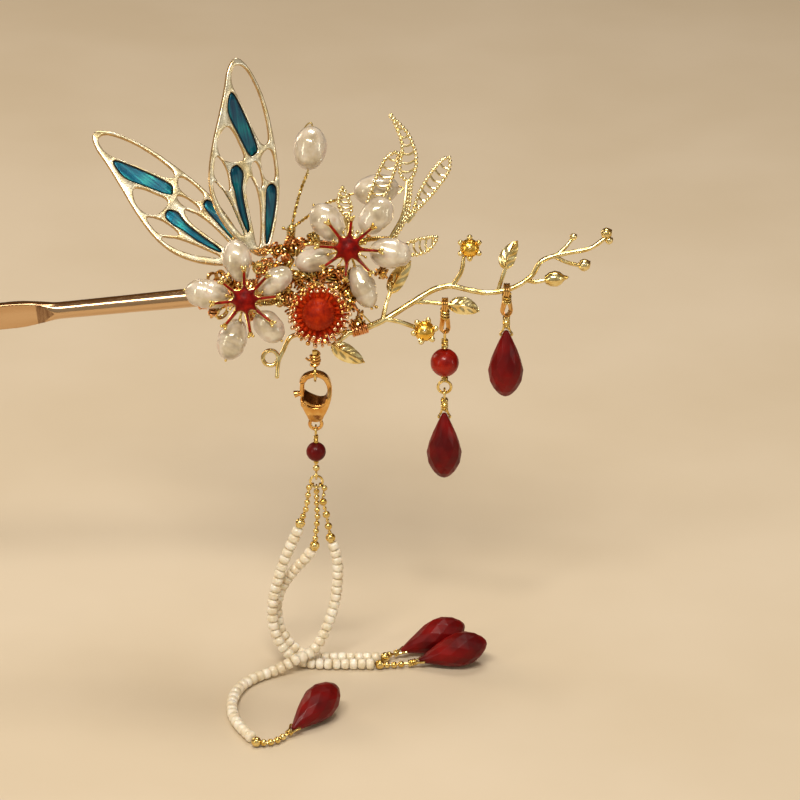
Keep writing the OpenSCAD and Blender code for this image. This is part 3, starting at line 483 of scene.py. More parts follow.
class Palette:
    """Every finish of the object, each built once."""

    def __init__(self) -> None:
        """Builds the materials."""
        # Rose gold plating on a drawn and forged stick: long polishing lines run with it.
        self.rose_gold = PlatedMetal(
            "polished_rose_gold_plate", "#d6b48c", "#c39b70", "#7a4630", 0.14, 3.0, 0.008,
            grain=(0.12, 1.0, 1.0),
        ).material()
        # Enamelled copper craft wire: saturated, with painted shade in the gaps between its turns.
        self.copper = PlatedMetal(
            "copper_craft_wire", "#f2b27a", "#dc9250", "#7c3a16", 0.22, 0.8, 0.01, hollow_mm=0.35
        ).material()
        # Pale gold flash over zinc castings: greenish-white on the faces, with brown painted shade in the
        # openings.
        self.pale_gold = PlatedMetal(
            "pale_gold_flash_casting", "#f3e9cd", "#e6d09c", "#8a6430", 0.2, 2.2, 0.01, hollow_mm=0.4
        ).material()
        # A darker, brassy copy of the pale gold for the castings' cut walls: painted shade.
        self.shaded_wall_gold = PlatedMetal(
            "pale_gold_walls_painted_shade", "#cda860", "#a9823e", "#5e431a", 0.26, 1.0, 0.01, hollow_mm=0.5
        ).material()
        # Lemon gold flash on the twig and its leaves: nearly white lights, and olive painted shade in the
        # hollows.
        self.lemon_gold = PlatedMetal(
            "lemon_gold_flash_casting", "#f8e9b0", "#e0c070", "#74521e", 0.16, 1.3, 0.008
        ).material()
        # Beaded gallery wire: every grain holds its own small light, and painted shade darkens only the gaps.
        self.beaded_gold = PlatedMetal(
            "beaded_gallery_wire", "#fdf1c6", "#eed996", "#7c5216", 0.18, 0.6, 0.002, hollow_mm=0.34
        ).material()
        # Amber-coloured gold, burnished, in the centres of the twig's flowers.
        self.amber_gold = PlatedMetal(
            "burnished_amber_gold", "#fbd066", "#efb53c", "#b5741a", 0.2, 1.0, 0.006, hollow_mm=0.25
        ).material()
        # Pinkish gold balls on the ray tips, tumbled bright.
        self.pink_gold = PlatedMetal(
            "pink_gold_balls", "#f8d9b4", "#ecb98a", "#9a5a34", 0.18, 0.8, 0.004, hollow_mm=0.2
        ).material()
        # Yellow gold plating over brass castings and wire.
        self.yellow_gold = PlatedMetal(
            "yellow_gold_plated_brass", "#f2dc97", "#dcb75c", "#6e4616", 0.19, 0.9, 0.012
        ).material()
        # Deep orange gold of the spring clasp and small balls.
        self.orange_gold = PlatedMetal(
            "orange_gold_plated_findings", "#ecbe74", "#d69c50", "#5a300e", 0.15, 1.4, 0.008
        ).material()
        # A dark brown copy of the plating, painted shade on the floor of the clasp's opening.
        self.shaded_inside_gold = PlatedMetal(
            "orange_gold_inside_painted_shade", "#8a5a2c", "#5c3416", "#2a1206", 0.34, 0.9, 0.01, hollow_mm=1.2
        ).material()
        # A darker copy of the rose gold for the neck's patch: painted shade, with streaky grain like file
        # marks.
        self.shaded_neck_rose_gold = PlatedMetal(
            "rose_gold_neck_painted_shade", "#a88868", "#86664c", "#3c2418", 0.24, 0.6, 0.02, grain=(1.0, 1.0, 0.2)
        ).material()
        # Nacre of the pearls: warm cream, never pure white.
        self.nacre = Nacre().material()
        # Enamel of the left wing, a lighter copy painted for the light that meets it: petrol blue with
        # turquoise streaks.
        self.blue_foil = FoilEnamel("blue_foil_enamel", "#083e58", "#12687e", "#38aca4").material()
        # Enamel of the right wing: a deeper copy of the same enamel, painted shade, nearer to teal.
        self.teal_foil = FoilEnamel("teal_foil_enamel", "#032e48", "#045264", "#0a7e80").material()
        # A nearly black seat along the cells' walls: painted shade in the gap between enamel and casting.
        self.cell_edge_shade = FoilEnamel("cell_edge_painted_shade", "#020d14", "#03161e", "#041f28").material()
        # Soft enamel in the stars' channels: thin, with a small light.
        self.ray_enamel = RedPaste(
            "red_ray_enamel", "#5c0804", "#850f06", "#a81e0a", patch_mm=1.0, skin_mm=0.3, pit_mm=0.05,
            roughness=0.4, coat=0.05, shine=0.12,
        ).material()
        # The same enamel heaped into the stars' domes, wrinkled as it dried, with painted light on its lower
        # side.
        self.dome_enamel = RedPaste(
            "wine_red_dome_enamel", "#540404", "#780804", "#a01806", patch_mm=1.3, skin_mm=0.7, pit_mm=0.16,
            roughness=0.5, coat=0.02, shine=0.1, lit_below=True,
        ).material()
        # Thin enamel on the sunburst: lighter and more orange, as the copper shows through.
        self.sunburst_enamel = RedPaste(
            "orange_red_sunburst_enamel", "#a41c06", "#cc380e", "#e45c20", patch_mm=1.2, skin_mm=0.3,
            pit_mm=0.04, roughness=0.4, coat=0.08, shine=0.16,
        ).material()
        # Carved carnelian: an orange-red stone that light enters a little way, with a satin skin and painted
        # light on its lower side.
        self.carved_carnelian = RedPaste(
            "carved_carnelian", "#7a1402", "#9c2203", "#b63406", patch_mm=1.2, skin_mm=0.35, pit_mm=0.14,
            roughness=0.5, coat=0.03, shine=0.08, glow=0.03, lit_below=True,
        ).material()
        # Polished carnelian: clearer, with a small sharp light, and painted light, warm and bright, low in
        # the bead.
        self.polished_carnelian = RedPaste(
            "polished_carnelian", "#6e0702", "#8c1003", "#a82205", patch_mm=2.6, skin_mm=1.5, pit_mm=0.01,
            roughness=0.3, coat=0.25, shine=0.15, glow=0.06, lit_below=True,
        ).material()
        # Cut glass dyed ox-blood red, with soft facet edges.
        self.red_glass = RedPaste(
            "ox_blood_cut_glass", "#500305", "#6a0606", "#820a08", patch_mm=4.0, skin_mm=0.9, pit_mm=0.02,
            roughness=0.38, coat=0.05, shine=0.16, glow=0.06,
        ).material()
        # Ivory glass of the seed beads: pearly, with warm and white beads among them.
        self.seed_bead = PressedGlass().material()
        # Board that the strands' ends lie on.
        self.board = PaleBoard().material()


# Routes


def vectors(points: Route) -> list[Vector]:
    """Turns plain points into vectors."""
    return [Vector(p) for p in points]


def smooth(route: Line, steps: int = 6, closed: bool = False) -> list[Vector]:
    """Draws a Catmull-Rom curve through points.

    Args:
        route: The points it passes through.
        steps: Equal steps from one point to the next.
        closed: Whether the last point joins the first.

    Returns:
        The points of the curve.
    """
    count = len(route)
    spans = count if closed else count - 1
    curve = []
    for i in range(spans):
        if closed:
            a, b, c, d = (route[(i + k) % count] for k in (-1, 0, 1, 2))
        else:
            a, b, c, d = (route[max(0, min(count - 1, i + k))] for k in (-1, 0, 1, 2))
        for s in range(steps):
            t = s / steps
            bend = (2 * a - 5 * b + 4 * c - d) * t**2
            curve.append(0.5 * (2 * b + (c - a) * t + bend + (3 * b - a - 3 * c + d) * t**3))
    if not closed:
        curve.append(route[-1].copy())
    return curve


def stepped(route: Line, step: float, closed: bool = False) -> list[Vector]:
    """Places points along a route at even spacing.

    Args:
        route: The route's points.
        step: The spacing that is wanted; the real one divides the length evenly.
        closed: Whether the last point joins the first.

    Returns:
        The evenly spaced points.
    """
    points = list(route) + ([route[0]] if closed else [])
    lengths = [0.0]
    for p, q in zip(points, points[1:]):
        lengths.append(lengths[-1] + (q - p).length)
    count = max(2, round(lengths[-1] / step))
    placed, k = [], 0
    for i in range(count if closed else count + 1):
        goal = lengths[-1] * i / count
        while k < len(points) - 2 and lengths[k + 1] < goal:
            k += 1
        span = lengths[k + 1] - lengths[k]
        placed.append(points[k].lerp(points[k + 1], (goal - lengths[k]) / span if span else 0.0))
    return placed


def carried(route: Line) -> list[tuple[Vector, Vector]]:
    """Carries two cross directions along a route with no twist.

    Args:
        route: The route's points.

    Returns:
        The two directions at each point.
    """
    last = len(route) - 1
    tangents = [(route[min(i + 1, last)] - route[max(i - 1, 0)]).normalized() for i in range(last + 1)]
    across = tangents[0].orthogonal().normalized()
    pairs = []
    for i, tangent in enumerate(tangents):
        if i:
            across = tangents[i - 1].rotation_difference(tangent) @ across
        across = (across - across.dot(tangent) * tangent).normalized()
        pairs.append((across.copy(), tangent.cross(across)))
    return pairs


def facing(centre: Vector, way: Vector) -> Matrix:
    """Stands a shape that is drawn along Z on a centre, pointing along a way."""
    return Matrix.Translation(centre) @ way.to_track_quat("Z", "Y").to_matrix().to_4x4()


def spoke(angle: float) -> Vector:
    """Gives the direction at an angle in the ornament's plane."""
    return Vector((math.cos(angle), 0, math.sin(angle)))


def circle(radius: float, height: float, sides: int, phase: float = 0.0) -> list[Vector]:
    """Draws a circle of points round the Z axis.

    Args:
        radius: Its radius.
        height: Its height.
        sides: How many points it has.
        phase: Where it starts, as a share of one step.

    Returns:
        The points.
    """
    angles = [math.tau * (k + phase) / sides for k in range(sides)]
    return [Vector((radius * math.cos(a), radius * math.sin(a), height)) for a in angles]


def signed_area(loop: Outline) -> float:
    """Gives twice the area of a closed loop, with a minus where it runs clockwise."""
    return sum(p[0] * q[1] - q[0] * p[1] for p, q in zip(loop, [*loop[1:], loop[0]]))


# Forms


class Form:
    """A mesh in the making: points in millimetres, and faces with the number of their finish."""

    def __init__(self) -> None:
        """Starts empty."""
        self.points: list[Vector] = []
        self.faces: list[tuple[int, ...]] = []
        self.finishes: list[int] = []

    def face(self, corners: Sequence[int], finish: int) -> None:
        """Adds one face."""
        self.faces.append(tuple(corners))
        self.finishes.append(finish)

    def lean(self) -> None:
        """Leans every point back with the ornament."""
        self.points = [LEAN @ p for p in self.points]

    def skin(
        self,
        loops: Sequence[Line],
        finish: int | Callable[[int, int], int] = 0,
        joined: bool = False,
    ) -> None:
        """Skins a row of loops; a loop of one point closes to a pole.

        Args:
            loops: Loops with the same number of points, apart from poles.
            finish: The finish, or a function from row and side to one.
            joined: Whether the last loop joins the first.
        """
        starts = []
        for loop in loops:
            starts.append(len(self.points))
            self.points.extend(loop)
        sides = max(len(loop) for loop in loops)
        rows = len(loops)
        for i in range(rows if joined else rows - 1):
            j = (i + 1) % rows
            low, high = starts[i], starts[j]
            for k in range(sides):
                n = (k + 1) % sides
                number = finish(i, k) if callable(finish) else finish
                if len(loops[i]) == 1:
                    self.face((low, high + n, high + k), number)
                elif len(loops[j]) == 1:
                    self.face((low + k, low + n, high), number)
                else:
                    self.face((low + k, low + n, high + n, high + k), number)
        if not joined:
            number = finish if isinstance(finish, int) else 0
            if len(loops[0]) > 1:
                self.face(range(starts[0] + sides - 1, starts[0] - 1, -1), number)
            if len(loops[-1]) > 1:
                self.face(range(starts[-1], starts[-1] + sides), number)

    def tube(
        self,
        route: Line,
        radius: float | Sequence[float],
        finish: int = 0,
        sides: int = 8,
        flat: float = 1.0,
    ) -> None:
        """Sweeps a round or oval wire along a route.

        Args:
            route: The middle line.
            radius: The radius, or one for each point.
            finish: The finish number.
            sides: Sides round the wire.
            flat: Share of the radius along the second cross direction.
        """
        radii = [radius] * len(route) if isinstance(radius, (int, float)) else radius
        angles = [math.tau * k / sides for k in range(sides)]
        loops = []
        for p, (u, v), r in zip(route, carried(route), radii):
            loops.append([p + r * (math.cos(a) * u + flat * math.sin(a) * v) for a in angles])
        self.skin(loops, finish)

    def turned(
        self, profile: Outline, place: Matrix, finish: int = 0, sides: int = 16, joined: bool = False
    ) -> None:
        """Turns a profile round the Z axis of a place.

        Args:
            profile: Points as (radius, height); a radius of 0 is a pole.
            place: Where the axis stands.
            finish: The finish number.
            sides: Sides round the axis.
            joined: Whether the profile is closed, as a ring's is.
        """
        loops = [[place @ p for p in circle(r, z, sides if r else 1)] for r, z in profile]
        self.skin(loops, finish, joined)

    def ball(self, centre: Vector, radius: float, finish: int = 0, sides: int = 12) -> None:
        """Adds a ball.

        Args:
            centre: Its middle.
            radius: Its radius.
            finish: The finish number.
            sides: Sides round it; it has half as many rows.
        """
        rows = max(4, sides // 2)
        profile = []
        for i in range(rows + 1):
            a = math.pi * i / rows
            profile.append((0.0 if i in (0, rows) else radius * math.sin(a), -radius * math.cos(a)))
        self.turned(profile, facing(centre, UP), finish, sides)

    def ring(
        self, centre: Vector, way: Vector, ring_r: float, wire_r: float, finish: int = 0, sides: int = 28,
        wire_sides: int = 8,
    ) -> None:
        """Adds a ring of round wire.

        Args:
            centre: Its middle.
            way: The direction of its axis.
            ring_r: Radius of the wire's middle line.
            wire_r: Radius of the wire.
            finish: The finish number.
            sides: Sides round the ring.
            wire_sides: Sides round the wire.
        """
        profile = []
        for k in range(wire_sides):
            a = math.tau * k / wire_sides
            profile.append((ring_r + wire_r * math.cos(a), wire_r * math.sin(a)))
        self.turned(profile, facing(centre, way), finish, sides, joined=True)

    def winding(
        self, route: Line, coil_r: float, wire_r: float, pitch: float, finish: int = 0,
        phase: float = 0.0, steps: int = 12, sides: int = 6, waver: float = 0.0,
    ) -> None:
        """Winds a wire round a route.

        Args:
            route: The route that it winds round.
            coil_r: Radius of the wire's middle line from the route.
            wire_r: Radius of the wire.
            pitch: Advance along the route in one turn.
            finish: The finish number.
            phase: Angle of its start, in radians.
            steps: Points in one turn.
            sides: Sides round the wire.
            waver: Share by which the turns differ in radius.
        """
        points = stepped(route, pitch / steps)
        helix = []
        for i, (p, (u, v)) in enumerate(zip(points, carried(points))):
            angle = phase + math.tau * i / steps
            r = coil_r * (1 + waver * noise.noise(Vector((i / steps, phase, 0.5))))
            helix.append(p + r * (math.cos(angle) * u + math.sin(angle) * v))
        self.tube(helix, wire_r, finish, sides)

    def twisted_pair(self, route: Line, wire_r: float, pitch: float, finish: int) -> None:
        """Twists two wires together along a route.

        Args:
            route: The route that they wind round.
            wire_r: Radius of each wire.
            pitch: Advance along the route in one turn.
            finish: The finish number.
        """
        for phase in (0.0, math.pi):
            self.winding(route, wire_r * 0.95, wire_r, pitch, finish, phase)

    def plate(
        self, outline: Outline, holes: Sequence[Outline], thickness: float, bevel: float,
        place: Matrix, finish: int = 0, fine: int = 3,
    ) -> None:
        """Cuts a plate with openings and rounded edges, inside its outline.

        Args:
            outline: The outer edge.
            holes: The openings.
            thickness: Thickness of the plate, half on each side of its plane.
            bevel: Radius of its edges.
            place: Where its plane stands.
            finish: The finish number.
            fine: Steps round an edge.
        """
        curve = bpy.data.curves.new("plate_outline", "CURVE")
        curve.dimensions, curve.fill_mode = "2D", "BOTH"
        curve.extrude, curve.bevel_depth = thickness / 2 - bevel, bevel
        curve.bevel_resolution, curve.offset = fine, -bevel
        for number, loop in enumerate([outline, *holes]):
            forwards = (signed_area(loop) > 0) == (number == 0)
            ordered = list(loop) if forwards else list(reversed(loop))
            spline = curve.splines.new("POLY")
            spline.points.add(len(ordered) - 1)
            for point, (x, y) in zip(spline.points, ordered):
                point.co = (x, y, 0, 1)
            spline.use_cyclic_u = True
        cutter = bpy.data.objects.new("plate_outline", curve)
        bpy.context.scene.collection.objects.link(cutter)
        mesh = bpy.data.meshes.new_from_object(cutter.evaluated_get(bpy.context.evaluated_depsgraph_get()))
        start = len(self.points)
        self.points.extend(place @ v.co for v in mesh.vertices)
        for polygon in mesh.polygons:
            self.face([start + v for v in polygon.vertices], finish)
        bpy.data.objects.remove(cutter)
        bpy.data.curves.remove(curve)
        bpy.data.meshes.remove(mesh)

    def piece(
        self, name: str, finishes: Sequence[bpy.types.Material], crease: float = 40.0,
        flat: Matrix | None = None,
    ) -> bpy.types.Object:
        """Makes the piece's object.

        Args:
            name: Its name.
            finishes: Its materials, by finish number.
            crease: Edges bent by more than this many degrees stay sharp.
            flat: Where its own plane stands, for a map in centimetres on that plane.

        Returns:
            The object, in metres.
        """
        mesh = bpy.data.meshes.new(name)
        mesh.from_pydata([p * MM for p in self.points], [], self.faces)
        for material in finishes:
            mesh.materials.append(material)
        for polygon, finish in zip(mesh.polygons, self.finishes):
            polygon.material_index = finish
            polygon.use_smooth = True
        shape = bmesh.new()
        shape.from_mesh(mesh)
        bmesh.ops.remove_doubles(shape, verts=shape.verts, dist=1e-8)
        bmesh.ops.recalc_face_normals(shape, faces=shape.faces)
        limit = math.radians(crease)
        for edge in shape.edges:
            edge.smooth = len(edge.link_faces) != 2 or edge.calc_face_angle(0.0) < limit
        if flat is not None:
            layer = shape.loops.layers.uv.new("Flat")
            to_plane = flat.inverted()
            for polygon in shape.faces:
                for loop in polygon.loops:
                    on_plane = to_plane @ (loop.vert.co / MM)
                    loop[layer].uv = (on_plane.x / MM_PER_CM, on_plane.y / MM_PER_CM)
        shape.to_mesh(mesh)
        shape.free()
        thing = bpy.data.objects.new(name, mesh)
        bpy.context.scene.collection.objects.link(thing)
        return thing


def settle(piece: bpy.types.Object, body: Body, slot: Slot, *nodes: str) -> None:
    """Fixes a piece to its body, hides the solids that it stands for, and reports it.

    Args:
        piece: The piece.
        body: The body that it rides on.
        slot: The record's material slot that it belongs to; not used.
        nodes: The nodes of the frame that it replaces.
    """
    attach(piece, body.value)
    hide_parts(*nodes)
    log.info("%s rides on %s with %d faces", piece.name, body.value, len(piece.data.polygons))


# The stick


@dataclass
class Stick:
    """The rose-gold stick: a flat blade with a rounded tip, a forged neck and a round rod."""

    # Place along the stick, half width and half thickness of each section.
    sections: Sequence[tuple[float, float, float]] = (
        (-96, 0.35, 0.3), (-95.6, 0.75, 0.45), (-94.8, 1.2, 0.6), (-92.5, 1.8, 0.75), (-88, 2.25, 0.75),
        (-60, 2.25, 0.75), (-30, 2.25, 0.75), (-8, 2.25, 0.75), (-6, 2.24, 0.75), (-4.6, 2.18, 0.76),
        (-3.4, 2.05, 0.76), (-2.2, 1.86, 0.8), (-1.1, 1.68, 1.02), (0, 1.54, 1.24), (1, 1.46, 1.38),
        (2, 1.42, 1.42), (4, 1.43, 1.43), (12, 1.48, 1.48), (24, 1.6, 1.6), (35.6, 1.6, 1.6), (36, 1.3, 1.3),
    )
    sides: int = 72
    steps: int = 5
    # How square the flat blade's section is.
    squareness: float = 7.2
    # The patch of painted shade at the neck, a darker rose gold with grain like file marks: start, band that
    # stays whole, point, and share of the stick's height.
    patch_start: float = -2.3
    patch_band: float = 0.9
    patch_end: float = 0.8
    patch_height: float = 0.93
    winding_start: float = 24.75
    winding_end: float = 36.75
    winding_r: float = 1.95
    wire_r: float = 0.25

    def cross_section(self, x: float, half_w: float, half_t: float) -> list[Vector]:
        """Draws the stick's section at x: a round that is pressed flat front and back, with soft corners.

        Args:
            x: Place along the stick.
            half_w: Half of its width.
            half_t: Half of its thickness.

        Returns:
            The loop of points.
        """
        flatness = 0.01 + self.squareness * max(0.0, 1 - half_t / half_w)
        loop = []
        for k in range(self.sides):
            a = math.tau * k / self.sides
            depth = half_t * math.tanh(flatness * math.cos(a)) / math.tanh(flatness)
            loop.append(RISE @ Vector((x, depth, half_w * math.sin(a))))
        return loop

    def build(self, palette: Palette) -> None:
        """Builds the stick and the copper winding on its end.

        Args:
            palette: The finishes.
        """
        stations = smooth(vectors(self.sections), self.steps)

        def neck(row: int, side: int) -> int:
            """Tells the patch of painted shade, which narrows from the blade to a point on the rod, from the
            rest.

            Args:
                row: Number of the section that the face starts from.
                side: Number of the face round the stick.

            Returns:
                1 on the patch, else 0.
            """
            x = stations[row].x
            if not self.patch_start <= x < self.patch_end:
                return 0
            share = min(1.0, (self.patch_end - x) / (self.patch_end - self.patch_start - self.patch_band))
            height = abs(math.sin(math.tau * (side + 0.5) / self.sides))
            return int(height < self.patch_height * share)

        stick = Form()
        stick.skin([self.cross_section(*s) for s in stations], neck)
        # The second finish, a darker copy of the rose gold, is painted shade on the neck's patch.
        finishes = [palette.rose_gold, palette.shaded_neck_rose_gold]
        settle(stick.piece("stick", finishes, 50), Body.PIN, Slot.ROSE_GOLD, "hair_stick")
        line = [RISE @ Vector((x, 0, 0)) for x in (self.winding_start, self.winding_end)]
        wound = Form()
        wound.tube(stepped(line, 1.0), self.winding_r, sides=32)
        wound.winding(line, self.winding_r, self.wire_r, 2 * self.wire_r, steps=28, sides=8, waver=0.02)
        settle(wound.piece("rod_winding", [palette.copper]), Body.PIN, Slot.COPPER_WIRE, "binding")


# The wings


WING_OUTLINE: Outline = (
    (0, -0.1), (1.2, 0.9), (2.9, 5.1), (4, 9.1), (4.6, 13.2), (4.6, 18.8), (4.2, 24.4), (3.2, 28.8),
    (1.8, 32), (0.2, 33.3), (-1.3, 31.4), (-2.3, 28.2), (-3.7, 24.2), (-5.4, 19.6), (-6.7, 14.8),
    (-6.9, 10.7), (-5.9, 6.9), (-3.9, 3.3), (-1.4, 0.6),
)
WING_OPENINGS: Sequence[Outline] = (
    ((0, 31.8), (-0.8, 29.3), (0.2, 25.8), (1.3, 22), (2.4, 18.9), (3.3, 18.6), (3.7, 20), (3.6, 23.5),
     (3, 27.4), (1.6, 31.2)),
    ((-2.8, 21.9), (-4.2, 20.4), (-4.6, 18.5), (-3.8, 16.6), (-0.9, 16.4), (-1.3, 19.1), (-2, 21.1)),
    ((-5, 17.2), (-5.8, 14.9), (-5.5, 13.4), (-4, 11.5), (-3.9, 14.7)),
    ((3.5, 17.4), (2.3, 16.4), (2.1, 14.7), (2.4, 12.7), (3.6, 12.4), (4, 14), (4, 16.4)),
    ((1, 15.6), (0.5, 14.9), (0.5, 13.2), (1.2, 11.4), (1.6, 12.4), (1.5, 14.4)),
    ((-0.2, 13.1), (-1, 11.2), (-1, 8.4), (-0.8, 4.8), (-0.6, 2), (-0.2, 2.2), (0.4, 5.4), (0.7, 9),
     (0.4, 12.1)),
    ((-6.2, 13), (-6.1, 10.9), (-5.2, 8), (-3.9, 5.7), (-2.6, 3.8), (-3.2, 6.4), (-4.2, 9.8), (-5.3, 12.2)),
)
WING_FILLED: Sequence[Outline] = (
    ((-1.3, 27.6), (-2.2, 24.5), (-1.1, 20.7), (0.2, 17), (1.1, 17.1), (1.6, 18), (0.9, 21.5), (-0.3, 25.6)),
    ((-2.1, 15.4), (-3.1, 14.8), (-3.3, 13.3), (-3, 11.3), (-2.8, 8.1), (-2.2, 5.2), (-1.8, 4.2), (-1.6, 5.2),
     (-1.8, 8.5), (-1.8, 11.7), (-1.3, 14)),
    ((3.3, 11.6), (2.3, 11), (1.7, 8), (1.1, 4.2), (0.9, 1.9), (1.7, 3.4), (3.1, 7.6), (3.7, 10.4)),
)


@dataclass
class Wing:
    """One butterfly wing: a pierced casting and the enamel in three of its cells."""

    name: str
    root: Point
    swing: float
    enamel: bpy.types.Material
    turn: float = 20.0
    thickness: float = 1.0
    edge: float = 0.16
    enamel_thickness: float = 0.6
    enamel_edge: float = 0.14
    enamel_gap: float = 0.2
    # The dark seat under each enamel, painted shade for the gap at the cell's wall, reaches a little under
    # the casting and stands lower than the enamel.
    seat_overlap: float = 0.04
    seat_lowered: float = 0.24
    seat_edge: float = 0.05
    opened: float = 0.18
    filled: float = 0.12
    # Faces that turn further than this from the wing's face count as walls and get the darker copy: painted
    # shade.
    wall_limit: float = 0.45

    def place(self) -> Matrix:
        """Gives the place of the wing's own plane.

        Returns:
            The place, as a matrix.
        """
        return (
            LEAN
            @ Matrix.Translation(self.root)
            @ Matrix.Rotation(math.radians(-self.swing), 4, "Y")
            @ Matrix.Rotation(math.radians(self.turn), 4, "Z")
            @ UPRIGHT
        )

    def drawn(self, loop: Outline, widened: float = 0.0) -> list[Flat]:
        """Rounds a loop and stretches it for the wing's turn.

        Args:
            loop: The loop as it is seen from the front.
            widened: How far it is then widened on every side.

        Returns:
            The loop on the wing's own plane.
        """
        stretch = 1 / math.cos(math.radians(self.turn))
        curve = smooth([Vector((x * stretch, y, 0)) for x, y in loop], 4, closed=True)
        flat = [(p.x, p.y) for p in curve]
        return shrunk(flat, -widened) if widened else flat

    def build(self, palette: Palette) -> None:
        """Builds the casting, and the enamel in its cells.

        Args:
            palette: The finishes.
        """
        place = self.place()
        casting = Form()
        filled = [self.drawn(cell, self.filled) for cell in WING_FILLED]
        openings = [self.drawn(cell, self.opened) for cell in WING_OPENINGS] + filled
        casting.plate(self.drawn(WING_OUTLINE), openings, self.thickness, self.edge, place)
        outward = place.to_3x3().col[2].normalized()
        # Walls, the faces turned away from the wing's face, get a darker brassy copy of the gold: painted
        # shade.
        for number, corners in enumerate(casting.faces):
            a, b, c = (casting.points[corner] for corner in corners[:3])
            if abs((b - a).cross(c - a).normalized().dot(outward)) < self.wall_limit:
                casting.finishes[number] = 1
        pierced = casting.piece(f"{self.name}_casting", [palette.pale_gold, palette.shaded_wall_gold], 35, place)
        settle(pierced, Body.PIN, Slot.PALE_GOLD, self.name)
        cells = Form()
        for cell in filled:
            cells.plate(shrunk(cell, self.enamel_gap), [], self.enamel_thickness, self.enamel_edge, place)
            # The nearly black seat paints the shade in the gap between the enamel and the cell's wall.
            seat = shrunk(cell, -self.seat_overlap)
            cells.plate(seat, [], self.enamel_thickness - self.seat_lowered, self.seat_edge, place, 1)
        filling = cells.piece(f"{self.name}_foil", [self.enamel, palette.cell_edge_shade], 60, place)
        filling.modifiers.new("flat_between_edges", "WEIGHTED_NORMAL").keep_sharp = True
        settle(filling, Body.PIN, Slot.TEAL_ENAMEL, f"{self.name}_enamel")


def shrunk(loop: Outline, gap: float) -> list[Flat]:
    """Draws a loop again a gap inside itself.

    Args:
        loop: The closed loop.
        gap: How far inside.

    Returns:
        The smaller loop.
    """
    count = len(loop)
    side = gap if signed_area(loop) > 0 else -gap
    inner = []
    for i, (x, y) in enumerate(loop):
        (ax, ay), (bx, by) = loop[i - 1], loop[(i + 1) % count]
        dx, dy = bx - ax, by - ay
        size = math.hypot(dx, dy) or 1.0
        inner.append((x - side * dy / size, y + side * dx / size))
    return inner


# Pearls and flowers


@dataclass
class Pearl:
    """One drilled freshwater pearl, a little uneven, with growth rings across its length."""

    name: str
    node: str
    centre: Point
    length: float
    width: float
    way: Vector
    seed: int
    # Grooves round the pearl: place along it, depth and width, as shares of its half sizes.
    grooves: Sequence[tuple[float, float, float]] = ()
    groove_waver: float = 0.08
    unevenness: float = 0.12
    growth_rings: float = 14
    growth_depth: float = 0.012
    # Share of its length that is left after drilling.
    drilled: float = 0.97
    rows: int = 36
    sides: int = 40

    def build(self, palette: Palette) -> None:
        """Builds the pearl inside its solid.

        Args:
            palette: The finishes.
        """
        place = LEAN @ facing(Vector(self.centre), self.way)
        # Where this pearl's noise starts.
        shift = Vector((self.seed * 3.1, self.seed * 1.7, self.seed * 0.9))
        loops = []
        for i in range(self.rows + 1):
            angle = math.pi * i / self.rows
            height, reach = -math.cos(angle), math.sin(angle)
            up = height * self.drilled * self.length / 2
            if i in (0, self.rows):
                loops.append([place @ Vector((0, 0, up))])
                continue
            loop = []
            for k in range(self.sides):
                turn = math.tau * k / self.sides
                spot = Vector((reach * math.cos(turn), reach * math.sin(turn), height))
                lump = 1 - self.unevenness * (0.5 - 0.5 * noise.noise(spot * 1.4 + shift))
                wave = math.sin(self.growth_rings * height + 3 * noise.noise(spot * 2 + shift))
                lump -= self.growth_depth * (0.5 + 0.5 * wave)
                for at, deep, wide in self.grooves:
                    round_it = Vector((math.cos(turn), math.sin(turn), self.seed))
                    wander = at + self.groove_waver * noise.noise(round_it)
                    lump -= deep * math.exp(-(((height - wander) / wide) ** 2))
                around = [side * lump * self.width / 2 for side in spot.xy]
                loop.append(place @ Vector((*around, up)))
            loops.append(loop)
        body = Form()
        body.skin(loops)
        settle(body.piece(self.name, [palette.nacre], 80), Body.PIN, Slot.PEARL, self.node)


